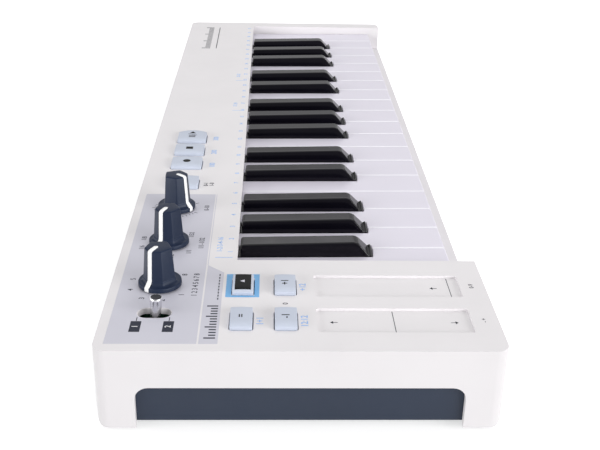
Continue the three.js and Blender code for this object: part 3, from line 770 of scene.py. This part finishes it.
def knob_pointer(node, centre, pointer):
    """A white line inlaid up the knob's side and over its top, a little proud of it."""
    angle = math.radians(90 - pointer)
    out = Vector((math.cos(angle), math.sin(angle), 0.0))
    across = Vector((-out.y, out.x, 0.0))
    axis = Vector((centre.x, centre.y, DECK))
    stations = pointer_stations()
    loops = []
    for index, (height, radius, wide) in enumerate(stations):
        before = stations[max(0, index - 1)]
        after = stations[min(len(stations) - 1, index + 1)]
        slope = Vector((after[0] - before[0], after[1] - before[1])).normalized()
        normal = out * slope.x + Vector((0, 0, -slope.y))
        middle = axis + out * radius * MM + Vector((0, 0, height * MM))
        top = middle + normal * POINTER_PROUD * MM
        base = middle - normal * POINTER_DEPTH * MM
        side = across * wide * MM
        loops.append([base - side, base + side, top + side, top - side])
    mesh = bmesh.new()
    loft(mesh, loops)
    shade(mesh)
    piece(node + "_pointer", mesh, "pointer", node)


def add_knobs():
    for node in KNOBS:
        centre = centre_of(node)
        knob_body(node, centre, POINTER_ANGLES[node])
        knob_pointer(node, centre, POINTER_ANGLES[node])


# ---- Buttons ----
# A cap rolls far down to its left end; its other edges are crisp.
CAP_ROLL_RUN = 3.5
CAP_ROLL_DROP = 1.3
CAP_EDGE = 0.25
CAP_CORNER = 0.4
# How far a cap's middle stands above its side edges, at this half width.
CAP_CROWN = 0.3
CAP_CROWN_HALF = 7.0
CAP_CROWN_SHARES = [0.8, 0.55, 0.3, 0.1]
CAP_ARCH = 3.2
CAP_CREASE = 50
# Places along a cap in mm: from its left end over the roll, then from its right end.
CAP_ROLL_STATIONS = [0.0, 0.04, 0.12, 0.25, 0.4, 0.7, 1.1, 1.6, 2.2, 2.8, 3.5]
CAP_END_STATIONS = [0.4, 0.25, 0.15, 0.08, 0.03, 0.0]
CAP_EDGE_STEPS = 3
CAP_ARCH_STEPS = 14


def cap_crown(half, share):
    """How far a cap's top is above its side edges, at a share of its half width."""
    return CAP_CROWN * (1 - share * share) * half / CAP_CROWN_HALF


def cap_section(x, y, half, height, bottom):
    """A cap's cross-section at one x: upright sides, small round edges and a slight crown."""
    edge = min(CAP_EDGE, half / 2)
    right = [(half, bottom)]
    for step in range(CAP_EDGE_STEPS + 1):
        turn = math.pi / 2 * step / CAP_EDGE_STEPS
        right.append((half - edge * (1 - math.cos(turn)), height - edge * (1 - math.sin(turn))))
    for share in CAP_CROWN_SHARES:
        right.append(((half - edge) * share, height + cap_crown(half, share)))
    outline = right + [(-across, up) for across, up in reversed(right)]
    return [Vector((x, y + across * MM, CASE_LOW.z + up * MM)) for across, up in outline]


def square_cap_stations(length, half):
    """Places along a cap, from its left end, with its half width at each."""
    places = CAP_ROLL_STATIONS + [length - left for left in CAP_END_STATIONS]
    ends = [min(place, length - place) for place in places]
    return [(place, half - CAP_CORNER * arc_drop(end, CAP_CORNER)) for place, end in zip(places, ends)]


def arched_cap_stations(length, half):
    """The same for a cap whose right end is an arc."""
    radius = (half ** 2 + CAP_ARCH ** 2) / (2 * CAP_ARCH)
    widest = math.asin(half / radius)
    stations = [
        (place, half - CAP_CORNER * arc_drop(place, CAP_CORNER)) for place in CAP_ROLL_STATIONS
    ]
    for step in range(CAP_ARCH_STEPS):
        turn = widest * (1 - step / CAP_ARCH_STEPS)
        stations.append((length - radius * (1 - math.cos(turn)), radius * math.sin(turn)))
    return stations


def cap_size(node):
    """A cap's length along x and its half width."""
    low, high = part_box(node)
    return (high.x - low.x) / MM - 2 * CAP_FLANGE, (high.y - low.y) / 2 / MM - CAP_FLANGE


def cap_height(node, place):
    """The height of a cap's side edges, this far from its left end."""
    length, half = cap_size(node)
    top = (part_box(node)[1].z - CASE_LOW.z) / MM - cap_crown(half, 0.0)
    roll = CAP_ROLL_DROP * arc_drop(place, CAP_ROLL_RUN)
    return top - roll - CAP_EDGE * arc_drop(length - place, CAP_EDGE)


def cap_shape(node, stations_of):
    low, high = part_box(node)
    y = (low.y + high.y) / 2
    bottom = (low.z - CASE_LOW.z) / MM
    loops = []
    for place, wide in stations_of(*cap_size(node)):
        x = low.x + (CAP_FLANGE + place) * MM
        loops.append(cap_section(x, y, wide, cap_height(node, place), bottom))
    mesh = bmesh.new()
    loft(mesh, loops)
    bmesh.ops.recalc_face_normals(mesh, faces=mesh.faces)
    shade(mesh, CAP_CREASE)
    piece(node + "_shape", mesh, "button_cap", node, [node])


def add_buttons():
    for node in SMALL_BUTTONS + TRANSPORT_BUTTONS[:-1]:
        cap_shape(node, square_cap_stations)
    cap_shape("play_button", arched_cap_stations)


# ---- Toggle ----
# Distances from the hinge along the lever, with the radius at each.
TOGGLE_PROFILE = [
    (-1.4, 0.6),
    (-1.1, 1.1),
    (0.0, 1.4),
    (2.0, 1.45),
    (4.0, 1.85),
    (7.0, 2.05),
    (13.0, 2.27),
    (14.02, 2.3),
    (14.1, 2.22),
]
TOGGLE_TIP_RADIUS = 2.3
TOGGLE_STEPS = 32
# The dark disc on the lever's flat end, a painted reflection, as a share of its last radius.
TOGGLE_REFLECTION_SHARE = 0.93


def toggle_axis():
    """The hinge's point and the direction from it to the lever's tip."""
    hinge = next(joint for joint in frame["joints"] if joint["child"] == "toggle_lever")
    pivot = Vector(hinge["pos_m"])
    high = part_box("toggle_lever")[1]
    tip = Vector((pivot.x, high.y - TOGGLE_TIP_RADIUS * MM, high.z))
    return pivot, (tip - pivot).normalized()


def toggle_ring(height, radius):
    """A circle of points round the lever's axis."""
    pivot, axis = toggle_axis()
    turn = Vector((0, 0, 1)).rotation_difference(axis).to_matrix()
    ring = [Vector((x, y, height)) * MM for x, y in circle(0.0, 0.0, radius, TOGGLE_STEPS)]
    return [pivot + turn @ point for point in ring]


def add_toggle():
    """The bat lever, leaning on one stop, and a dark steel disc on its flat end: a painted reflection.
    """
    lever = bmesh.new()
    loft(lever, [toggle_ring(height, radius) for height, radius in TOGGLE_PROFILE])
    shade(lever)
    keep_flats_flat(piece(
        "toggle_lever_shape", lever, "chrome", "toggle_lever", ["toggle_lever"],
    ))
    height, radius = TOGGLE_PROFILE[-1]
    # A painted reflection: a dark steel disc on the chrome lever's flat end.
    end = bmesh.new()
    loft(end, [
        toggle_ring(height + rise, radius * TOGGLE_REFLECTION_SHARE)
        for rise in (-PRINT_SINK, PRINT_HEIGHT)
    ])
    piece("toggle_lever_painted_reflection", end, "screw_steel", "toggle_lever")


# ---- Prints ----
# Places and lengths are in mm on the deck; a size is (along x, along y).
FONT_SIZE_PER_CAPITAL = 1.42
ARROW_LINE = 0.32
ARROW_WING = 0.36
ARROW_POINT = 0.2
# Ink over other ink stands this much higher.
DARK_LIFT = 0.02
TOP_LIFT = 0.05


class Print:
    """Flat ink marks gathered into one thin piece that lies on a surface."""

    def __init__(self, name, ink, body="case", slot="shell", height=None, lift=0.0):
        self.name = name
        self.ink = ink
        self.body = body
        self.slot = slot
        self.level = (DECK if height is None else height) + lift * MM
        self.mesh = bmesh.new()

    def shape(self, points):
        """A filled outline, its corners in mm on the deck."""
        prism(self.mesh, points, self.level - PRINT_SINK * MM, self.level + PRINT_HEIGHT * MM)

    def sheet(self, outlines):
        """Filled outlines in mm on the deck; an outline inside another one is a hole in it."""
        curve = bpy.data.curves.new(self.name + "_sheet", "CURVE")
        curve.dimensions = "2D"
        curve.fill_mode = "BOTH"
        curve.extrude = (PRINT_HEIGHT + PRINT_SINK) * MM / 2
        for points in outlines:
            spline = curve.splines.new("POLY")
            spline.points.add(len(points) - 1)
            spline.use_cyclic_u = True
            for corner, (x, y) in zip(spline.points, points):
                place = spot(x, y)
                corner.co = (place.x, place.y, 0.0, 1.0)
        self.take(curve, 0.0, 0.0)

    def take(self, curve, x, y):
        """Adds a flat curve or text as mesh, moved by x and y in metres."""
        holder = bpy.data.objects.new(curve.name, curve)
        bpy.context.scene.collection.objects.link(holder)
        bpy.context.view_layer.update()
        ready = holder.evaluated_get(bpy.context.evaluated_depsgraph_get())
        flat = bpy.data.meshes.new_from_object(ready)
        middle = self.level + (PRINT_HEIGHT - PRINT_SINK) * MM / 2
        flat.transform(Matrix.Translation((x, y, middle)))
        self.mesh.from_mesh(flat)
        bpy.data.objects.remove(holder)
        bpy.data.meshes.remove(flat)

    def bar(self, x, y, length_x, length_y):
        half_x, half_y = length_x / 2, length_y / 2
        self.shape(rectangle(x - half_x, y - half_y, x + half_x, y + half_y))

    def disc(self, x, y, radius, steps=24):
        self.shape(circle(x, y, radius, steps))

    def triangle(self, x, y, size, degrees):
        """A triangle that points at this angle from +X."""
        corners = []
        for index in range(3):
            turn = math.radians(degrees + 120 * index)
            corners.append((x + size * math.cos(turn), y + size * math.sin(turn)))
        self.shape(corners)

    def arrow(self, x, y, size, towards):
        """A small arrow along Y: towards is 1 for the rear and -1 for the front."""
        self.bar(x, y, ARROW_LINE, size)
        tip = y + towards * size / 2
        wing = ARROW_WING * size
        foot = tip - towards * wing
        points = [(x, tip + towards * ARROW_POINT), (x - wing, foot), (x + wing, foot)]
        self.shape(points if towards < 0 else list(reversed(points)))

    def ray(self, x, y, inner, outer, degrees, width):
        """A tick along a circle's radius, at an angle clockwise from the rear."""
        turn = math.radians(90 - degrees)
        out = Vector((math.cos(turn), math.sin(turn)))
        across = Vector((-out.y, out.x)) * width / 2
        start = Vector((x, y)) + out * inner
        end = Vector((x, y)) + out * outer
        self.shape([start - across, end - across, end + across, start + across])

    def text(self, words, x, y, height, bold=0.0):
        """Numbers or signs, centred, with capitals of this height, read from the front."""
        curve = bpy.data.curves.new(self.name + "_text", "FONT")
        curve.body = words
        curve.size = height * MM * FONT_SIZE_PER_CAPITAL
        curve.align_x = "CENTER"
        curve.align_y = "CENTER"
        curve.extrude = (PRINT_HEIGHT + PRINT_SINK) * MM / 2
        curve.offset = bold * MM
        curve.resolution_u = 3
        place = spot(x, y)
        self.take(curve, place.x, place.y)

    def done(self):
        bmesh.ops.remove_doubles(self.mesh, verts=self.mesh.verts, dist=1e-7)
        return piece(self.name, self.mesh, self.ink, self.body)


PANEL_X = (4.7, 137.7)
PANEL_Y = (111.4, 144.2)
TITLE_Y = (103.9, 110.7)
TITLE_RIGHT = 58.4
TITLE_SLANT = 6.4
PANEL_LINE_Y = 110.75
PANEL_LINE_WIDTH = 0.3
TOGGLE_SLOT = (26.2, 128.4)
TOGGLE_SLOT_HALF = (3.55, 6.35)
TOGGLE_SLOT_RIM = 0.25
# Half the size of a knob's hole; an oval has to be a little longer than it is wide.
KNOB_HOLE_HALF = (3.6, 3.601)


def oval(x, y, half_x, half_y, steps=10):
    """A slot's outline with round ends, longer along Y."""
    points = []
    for sign in (1, -1):
        for index in range(steps + 1):
            turn = math.radians(180 * index / steps) + (0 if sign > 0 else math.pi)
            points.append((
                x + half_x * math.cos(turn),
                y + sign * (half_y - half_x) + half_x * math.sin(turn),
            ))
    return points


def print_panel():
    """The grey field round the knobs, open at its holes, and the lower strip with a slant."""
    grey = Print("panel_print", INK_GREY)
    left, right = PANEL_X
    front, rear = PANEL_Y
    holes = [oval(*TOGGLE_SLOT, *(half + TOGGLE_SLOT_RIM for half in TOGGLE_SLOT_HALF))]
    for node in KNOBS:
        holes.append(oval(*on_deck(centre_of(node)), *KNOB_HOLE_HALF))
    grey.sheet([rectangle(left, front, right, rear)] + holes)
    front, rear = TITLE_Y
    slant_top = TITLE_RIGHT + TITLE_SLANT
    grey.sheet([[(left, front), (TITLE_RIGHT, front), (slant_top, rear), (left, rear)]])
    grey.bar((slant_top + right) / 2, PANEL_LINE_Y, right - slant_top, PANEL_LINE_WIDTH)
    grey.done()


SCALE_ANGLES = [-140, -100, -60, -20, 20, 60, 100, 140]
SCALE_WORDS = {
    "mode_knob": [str(number) for number in range(1, 9)],
    "division_knob": ["1/1", "1/2", "1/4", "1/6", "1/8", "1/12", "1/16", "1/32"],
}
SCALE_RADIUS = 11.8
SCALE_STRETCH = 1.08
SCALE_TEXT = (2.1, 0.03)
# The third knob's ticks: from this radius out to the short or the long one.
TICK_FROM, TICK_SHORT, TICK_LONG = 9.6, 10.6, 11.4
TICK_ANGLES = range(-150, 151, 10)
TICK_LONG_EVERY = 50
TICK_WIDTH = 0.3
KNOB_CAPTIONS = {"mode_knob": "1 2 3 4 5 6 7 8", "division_knob": "1/1-1/32", "rate_knob": "0-10"}
KNOB_CAPTION_Y = 114.6
KNOB_CAPTION_TEXT = (2.2, 0.03)


def print_knob_scales(dark):
    """Numbers round the first two knobs, ticks round the third."""
    for node, words in SCALE_WORDS.items():
        x, y = on_deck(centre_of(node))
        for angle, word in zip(SCALE_ANGLES, words):
            turn = math.radians(90 - angle)
            across = SCALE_RADIUS * math.cos(turn) * SCALE_STRETCH
            dark.text(word, x + across, y + SCALE_RADIUS * math.sin(turn), *SCALE_TEXT)
    x, y = on_deck(centre_of("rate_knob"))
    for angle in TICK_ANGLES:
        long = (angle - TICK_ANGLES[0]) % TICK_LONG_EVERY == 0
        dark.ray(x, y, TICK_FROM, TICK_LONG if long else TICK_SHORT, angle, TICK_WIDTH)
    for node, word in KNOB_CAPTIONS.items():
        dark.text(word, on_deck(centre_of(node))[0], KNOB_CAPTION_Y, *KNOB_CAPTION_TEXT)


TOGGLE_LABELS = {"1": 6.0, "2": -6.0}
TOGGLE_LABEL_X = 16.4
TOGGLE_LABEL_SIZE = (7.5, 3.9)
TOGGLE_LABEL_TEXT = 2.2
TOGGLE_LINE_X = 21.6
TOGGLE_LINE_SIZE = (2.6, 0.3)


def print_toggle_labels(dark, white):
    """A numbered field at each end of the toggle's slot."""
    for word, offset in TOGGLE_LABELS.items():
        y = TOGGLE_SLOT[1] + offset
        dark.bar(TOGGLE_LABEL_X, y, *TOGGLE_LABEL_SIZE)
        white.text(word, TOGGLE_LABEL_X, y, TOGGLE_LABEL_TEXT)
        dark.bar(TOGGLE_LINE_X, y, *TOGGLE_LINE_SIZE)


def print_deck():
    dark = Print("deck_print_dark", INK_DARK, lift=DARK_LIFT)
    white = Print("deck_print_white", INK_WHITE, lift=TOP_LIFT)
    blue = Print("deck_print_blue", INK_BLUE)
    print_knob_scales(dark)
    print_toggle_labels(dark, white)
    print_titles(dark)
    print_touch_marks(dark)
    print_button_captions(dark, blue)
    print_key_numbers(blue)
    for sheet in (dark, white, blue):
        sheet.done()


# Rows of bars where names would be: first bar's x, base line's y, pitch, count, width, lengths
# of a short and of a tall bar, and how many bars from one tall one to the next.
RULERS = [
    (8.6, 104.9, 1.9, 13, 0.8, 2.6, 4.2, 4),
    (406.0, 129.6, 2.9, 22, 1.1, 3.6, 6.0, 7),
]
DASHES = {"x": 37.0, "y": 105.4, "pitch": 2.4, "count": 9, "size": (1.5, 0.45)}
RULER_LINE = (436.5, 125.2, 62.0, 0.5)


def print_titles(dark):
    for x, base, pitch, count, width, short, tall, every in RULERS:
        for index in range(count):
            length = tall if index % every == 0 else short
            dark.bar(x + pitch * index, base + length / 2, width, length)
    for index in range(DASHES["count"]):
        dark.bar(DASHES["x"] + DASHES["pitch"] * index, DASHES["y"], *DASHES["size"])
    dark.bar(*RULER_LINE)


STRIP_X = {"pitch": 21.5, "mod": 47.8}
STRIP_LINE_SIZE = (16.0, 0.25)
STRIP_LINE_Y = {"pitch": 39.1, "mod": 14.3}
# Each arrow's strip, y and direction.
STRIP_ARROWS = [("pitch", 61.5, 1), ("pitch", 16.5, -1), ("mod", 20.5, 1)]
STRIP_ARROW_LENGTH = 2.6
STRIP_CAPTIONS = {"pitch": "- +", "mod": "0-9"}
STRIP_CAPTION_Y = 5.5
STRIP_CAPTION_TEXT = 1.8


def print_touch_marks(dark):
    """Lines and arrows on the recessed strips, and a caption in front of each."""
    recess = Print("strip_print_dark", INK_DARK, lift=-RECESS_DEPTH)
    for strip, y, towards in STRIP_ARROWS:
        recess.arrow(STRIP_X[strip], y, STRIP_ARROW_LENGTH, towards)
    for strip, x in STRIP_X.items():
        recess.bar(x, STRIP_LINE_Y[strip], *STRIP_LINE_SIZE)
        dark.text(STRIP_CAPTIONS[strip], x, STRIP_CAPTION_Y, STRIP_CAPTION_TEXT)
    recess.done()


# Signs by their buttons: node, word, distance in front of the button, height, boldness.
BLUE_CAPTIONS = [
    ("hold_button", "1+1", 7.0, 2.6, 0.05),
    ("octave_up_button", "+12", 7.0, 2.6, 0.05),
    ("octave_down_button", "12:12", 7.0, 2.6, 0.05),
    ("record_button", "100", 13.0, 2.8, 0.04),
    ("stop_button", "200", 13.0, 2.8, 0.04),
    ("play_button", "300", 13.0, 2.8, 0.04),
]
DARK_CAPTIONS = [("tie_button", "0-1", 11.4, 2.2, 0.03), ("tie_button", "1-0", 14.2, 2.2, 0.03)]
RESET_SIGN = ("0", 33.5, 79.4, 2.0)


def print_button_captions(dark, blue):
    for sheet, captions in ((blue, BLUE_CAPTIONS), (dark, DARK_CAPTIONS)):
        for node, word, ahead, height, bold in captions:
            x, y = on_deck(centre_of(node))
            sheet.text(word, x, y - ahead, height, bold)
    dark.text(*RESET_SIGN)


KEY_NUMBER_Y = 102.0
KEY_NUMBER_TEXT = (2.1, 0.04)
# Where each range of keys starts, with the caption's words and its middle.
RANGES = [(71.8, "1-2-3-4-16", 84.0), (264.0, "17-24", 275.0), (325.3, "25-32", 337.0)]
RANGE_LINE_Y = 104.6
RANGE_LINE_SIZE = (0.35, 7.2)
RANGE_TEXT_Y = 106.6
RANGE_TEXT = (2.3, 0.03)


def print_key_numbers(blue):
    """Numbers evenly spaced along the keys, with the starts of the ranges behind them."""
    left = on_deck(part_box(WHITE_KEYS[0])[0])[0]
    right = on_deck(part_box(WHITE_KEYS[-1])[1])[0]
    count = len(WHITE_KEYS + BLACK_KEYS)
    for index in range(count):
        x = left + (index + 0.5) * (right - left) / count
        blue.text(str(index + 1), x, KEY_NUMBER_Y, *KEY_NUMBER_TEXT)
    for start, words, middle in RANGES:
        blue.bar(start, RANGE_LINE_Y, *RANGE_LINE_SIZE)
        blue.text(words, middle, RANGE_TEXT_Y, *RANGE_TEXT)


CAP_SIGNS = {"octave_up_button": "+1", "octave_down_button": "-1", "hold_button": "="}
CAP_SIGN_TEXT = (2.9, 0.05)
RECORD_DOT_RADIUS = 1.9
STOP_SIZE = (3.4, 3.6)
# The play sign: a triangle, two bars at these places, and a slash between them.
PLAY_TRIANGLE = (2.9, 2.0)
PLAY_BARS_X = (-3.6, -2.0)
PLAY_BAR_SIZE = (0.8, 3.6)
PLAY_SLASH = [(-1.1, -2.4), (-0.6, -2.4), (1.2, 2.4), (0.7, 2.4)]


def draw_record(sheet, x, y):
    sheet.disc(x, y, RECORD_DOT_RADIUS)


def draw_stop(sheet, x, y):
    sheet.bar(x, y, *STOP_SIZE)


def draw_play(sheet, x, y):
    offset, size = PLAY_TRIANGLE
    sheet.triangle(x + offset, y, size, 0)
    for bar_x in PLAY_BARS_X:
        sheet.bar(x + bar_x, y, *PLAY_BAR_SIZE)
    sheet.shape([(x + corner_x, y + corner_y) for corner_x, corner_y in PLAY_SLASH])


def print_icons():
    """Signs on the caps: each is a piece of its button."""
    drawings = {"record_button": draw_record, "stop_button": draw_stop, "play_button": draw_play}
    for node in [*drawings, *CAP_SIGNS]:
        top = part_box(node)[1].z
        icon = Print(node + "_icon", INK_BLACK, node, "button_cap", top)
        x, y = on_deck(centre_of(node))
        if node in drawings:
            drawings[node](icon, x, y)
        else:
            icon.text(CAP_SIGNS[node], x, y, *CAP_SIGN_TEXT)
        icon.done()


SHIFT_FIELD_SIDE = 1.0
SHIFT_FIELD_RISE = 0.04
SHIFT_FIELD_THICKNESS = 0.1
# Distances of the field's cross-sections from the cap's left end, over its roll.
SHIFT_FIELD_STATIONS = [1.1, 1.6, 2.2, 2.8, 3.5]
SHIFT_FIELD_SHARES = [-1.0, -0.6, -0.2, 0.2, 0.6, 1.0]
SHIFT_FRAME_X = (38.3, 57.0)
SHIFT_FRAME_Y = (89.5, 102.6)
SHIFT_SIGN = {"offset": 0.6, "size": 1.2, "towards": 90}


def add_shift_field():
    """The black field on the shift button's cap; it follows the cap over its rolled end."""
    node = "shift_button"
    low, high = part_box(node)
    middle = (low.y + high.y) / 2
    length, half = cap_size(node)
    wide = half - SHIFT_FIELD_SIDE
    under = Vector((0, 0, -SHIFT_FIELD_THICKNESS * MM))
    loops = []
    for place in [*SHIFT_FIELD_STATIONS, length / 2, length - CAP_EDGE]:
        x = low.x + (CAP_FLANGE + place) * MM
        outline = []
        for share in SHIFT_FIELD_SHARES:
            up = cap_height(node, place) + cap_crown(half, share * wide / half) + SHIFT_FIELD_RISE
            outline.append(Vector((x, middle + share * wide * MM, CASE_LOW.z + up * MM)))
        loops.append(outline + [point + under for point in reversed(outline)])
    mesh = bmesh.new()
    loft(mesh, loops)
    bmesh.ops.recalc_face_normals(mesh, faces=mesh.faces)
    shade(mesh)
    piece("shift_button_field", mesh, INK_BLACK, node)


def print_shift_frame():
    """The sky-blue frame round the shift button, and the sign on its cap."""
    node = "shift_button"
    low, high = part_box(node)
    x, y = on_deck(centre_of(node))
    sign = Print("shift_button_icon", INK_GREY, node, "button_cap", high.z, TOP_LIFT)
    sign.triangle(x + SHIFT_SIGN["offset"], y, SHIFT_SIGN["size"], SHIFT_SIGN["towards"])
    sign.done()
    inset = CAP_FLANGE - CAP_HOLE_GAP
    hole_left, hole_front = (place + inset for place in on_deck(low))
    hole_right, hole_rear = (place - inset for place in on_deck(high))
    left, right = SHIFT_FRAME_X
    front, rear = SHIFT_FRAME_Y
    sky = Print("shift_frame_print", INK_SKY)
    for sides in (
        (left, front, right, hole_front),
        (left, hole_rear, right, rear),
        (left, hole_front, hole_left, hole_rear),
        (hole_right, hole_front, right, hole_rear),
    ):
        sky.shape(rectangle(*sides))
    sky.done()


# ---- Stage ----
# The camera's place from the case's front left corner and above the floor, and its angles in
# degrees: from +X, down, and about its own axis.
CAMERA_FROM_LEFT = -286.8
CAMERA_FROM_FRONT = 85.85
CAMERA_HEIGHT = 218.69
CAMERA_YAW = -2.027
CAMERA_PITCH = 25.188
CAMERA_ROLL = 1.211
CAMERA_LENS = 57.908
CAMERA_SENSOR = 36.0
# Each softbox in metres: name, place, what it faces, width, height, watts.
SOFTBOXES = [
    ("overhead", (1.0, 0.0, 1.6), (0.4, 0.0, 0.0), 2.8, 2.6, 22.0),
    ("far_panel", (2.2, 0.0, 0.9), (0.0, 0.0, 0.1), 3.0, 1.6, 5.5),
    ("left_box", (-1.1, 2.0, 0.5), (0.0, 0.0, 0.0), 2.0, 1.0, 36.0),
    ("right_box", (-1.4, -1.5, 0.55), (0.0, 0.0, 0.0), 1.8, 1.0, 40.0),
]
WORLD_STRENGTH = 0.33
FLOOR_GLOW = 0.55
FLOOR_HALF = 30.0
WHITE = (1.0, 1.0, 1.0, 1.0)


def add_camera():
    """Looks along the keyboard from beyond its left end, and down."""
    yaw, pitch, roll = (math.radians(angle) for angle in (CAMERA_YAW, CAMERA_PITCH, CAMERA_ROLL))
    ahead = Vector((
        math.cos(pitch) * math.cos(yaw),
        math.cos(pitch) * math.sin(yaw),
        -math.sin(pitch),
    ))
    right = ahead.cross(Vector((0, 0, 1))).normalized()
    up = right.cross(ahead)
    rolled_right = right * math.cos(roll) + up * math.sin(roll)
    rolled_up = up * math.cos(roll) - right * math.sin(roll)
    camera = bpy.data.objects.new("camera", bpy.data.cameras.new("camera"))
    bpy.context.scene.collection.objects.link(camera)
    turn = Matrix((rolled_right, rolled_up, -ahead)).transposed().to_4x4()
    place = Vector((
        CASE_LOW.x + CAMERA_FROM_LEFT * MM,
        CASE_LOW.y + CAMERA_FROM_FRONT * MM,
        CAMERA_HEIGHT * MM,
    ))
    camera.matrix_world = Matrix.Translation(place) @ turn
    camera.data.lens = CAMERA_LENS
    camera.data.sensor_width = CAMERA_SENSOR
    camera.data.clip_start = 0.01
    bpy.context.scene.camera = camera


def add_softboxes():
    for name, place, target, width, height, power in SOFTBOXES:
        light = bpy.data.lights.new(name, "AREA")
        light.shape = "RECTANGLE"
        light.size = width
        light.size_y = height
        light.energy = power
        holder = bpy.data.objects.new(name, light)
        holder.location = place
        ahead = Vector(target) - Vector(place)
        holder.rotation_euler = ahead.to_track_quat("-Z", "Y").to_euler()
        bpy.context.scene.collection.objects.link(holder)


def add_floor():
    """Glowing white paper, which lights nothing by itself but shows in reflections."""
    mesh = bmesh.new()
    half = FLOOR_HALF
    corners = rectangle(-half, -half, half, half)
    mesh.faces.new([mesh.verts.new((x, y, 0.0)) for x, y in corners])
    data = bpy.data.meshes.new("floor")
    mesh.to_mesh(data)
    mesh.free()
    shader = surface("floor", (225, 225, 225), 0.8, grain=300.0, strength=0.02, drift=0.004)
    set_inputs(shader, {"Emission Color": WHITE, "Emission Strength": FLOOR_GLOW})
    data.materials.append(MATERIALS["floor"])
    floor = bpy.data.objects.new("floor", data)
    bpy.context.scene.collection.objects.link(floor)
    floor.visible_diffuse = False


def add_world():
    world = bpy.data.worlds.new("studio")
    world.use_nodes = True
    background = world.node_tree.nodes["Background"]
    set_inputs(background, {"Color": WHITE, "Strength": WORLD_STRENGTH})
    bpy.context.scene.world = world


def main():
    make_case_surfaces()
    make_inner_surfaces()
    make_key_surfaces()
    make_control_surfaces()
    make_inks()
    finish_case()
    finish_tray_and_feet()
    finish_inside()
    add_screws()
    finish_keys()
    add_knobs()
    add_buttons()
    add_toggle()
    print_panel()
    print_deck()
    add_shift_field()
    print_shift_frame()
    print_icons()
    add_camera()
    add_floor()
    add_world()
    add_softboxes()
    bpy.context.scene.view_settings.view_transform = "Standard"


main()
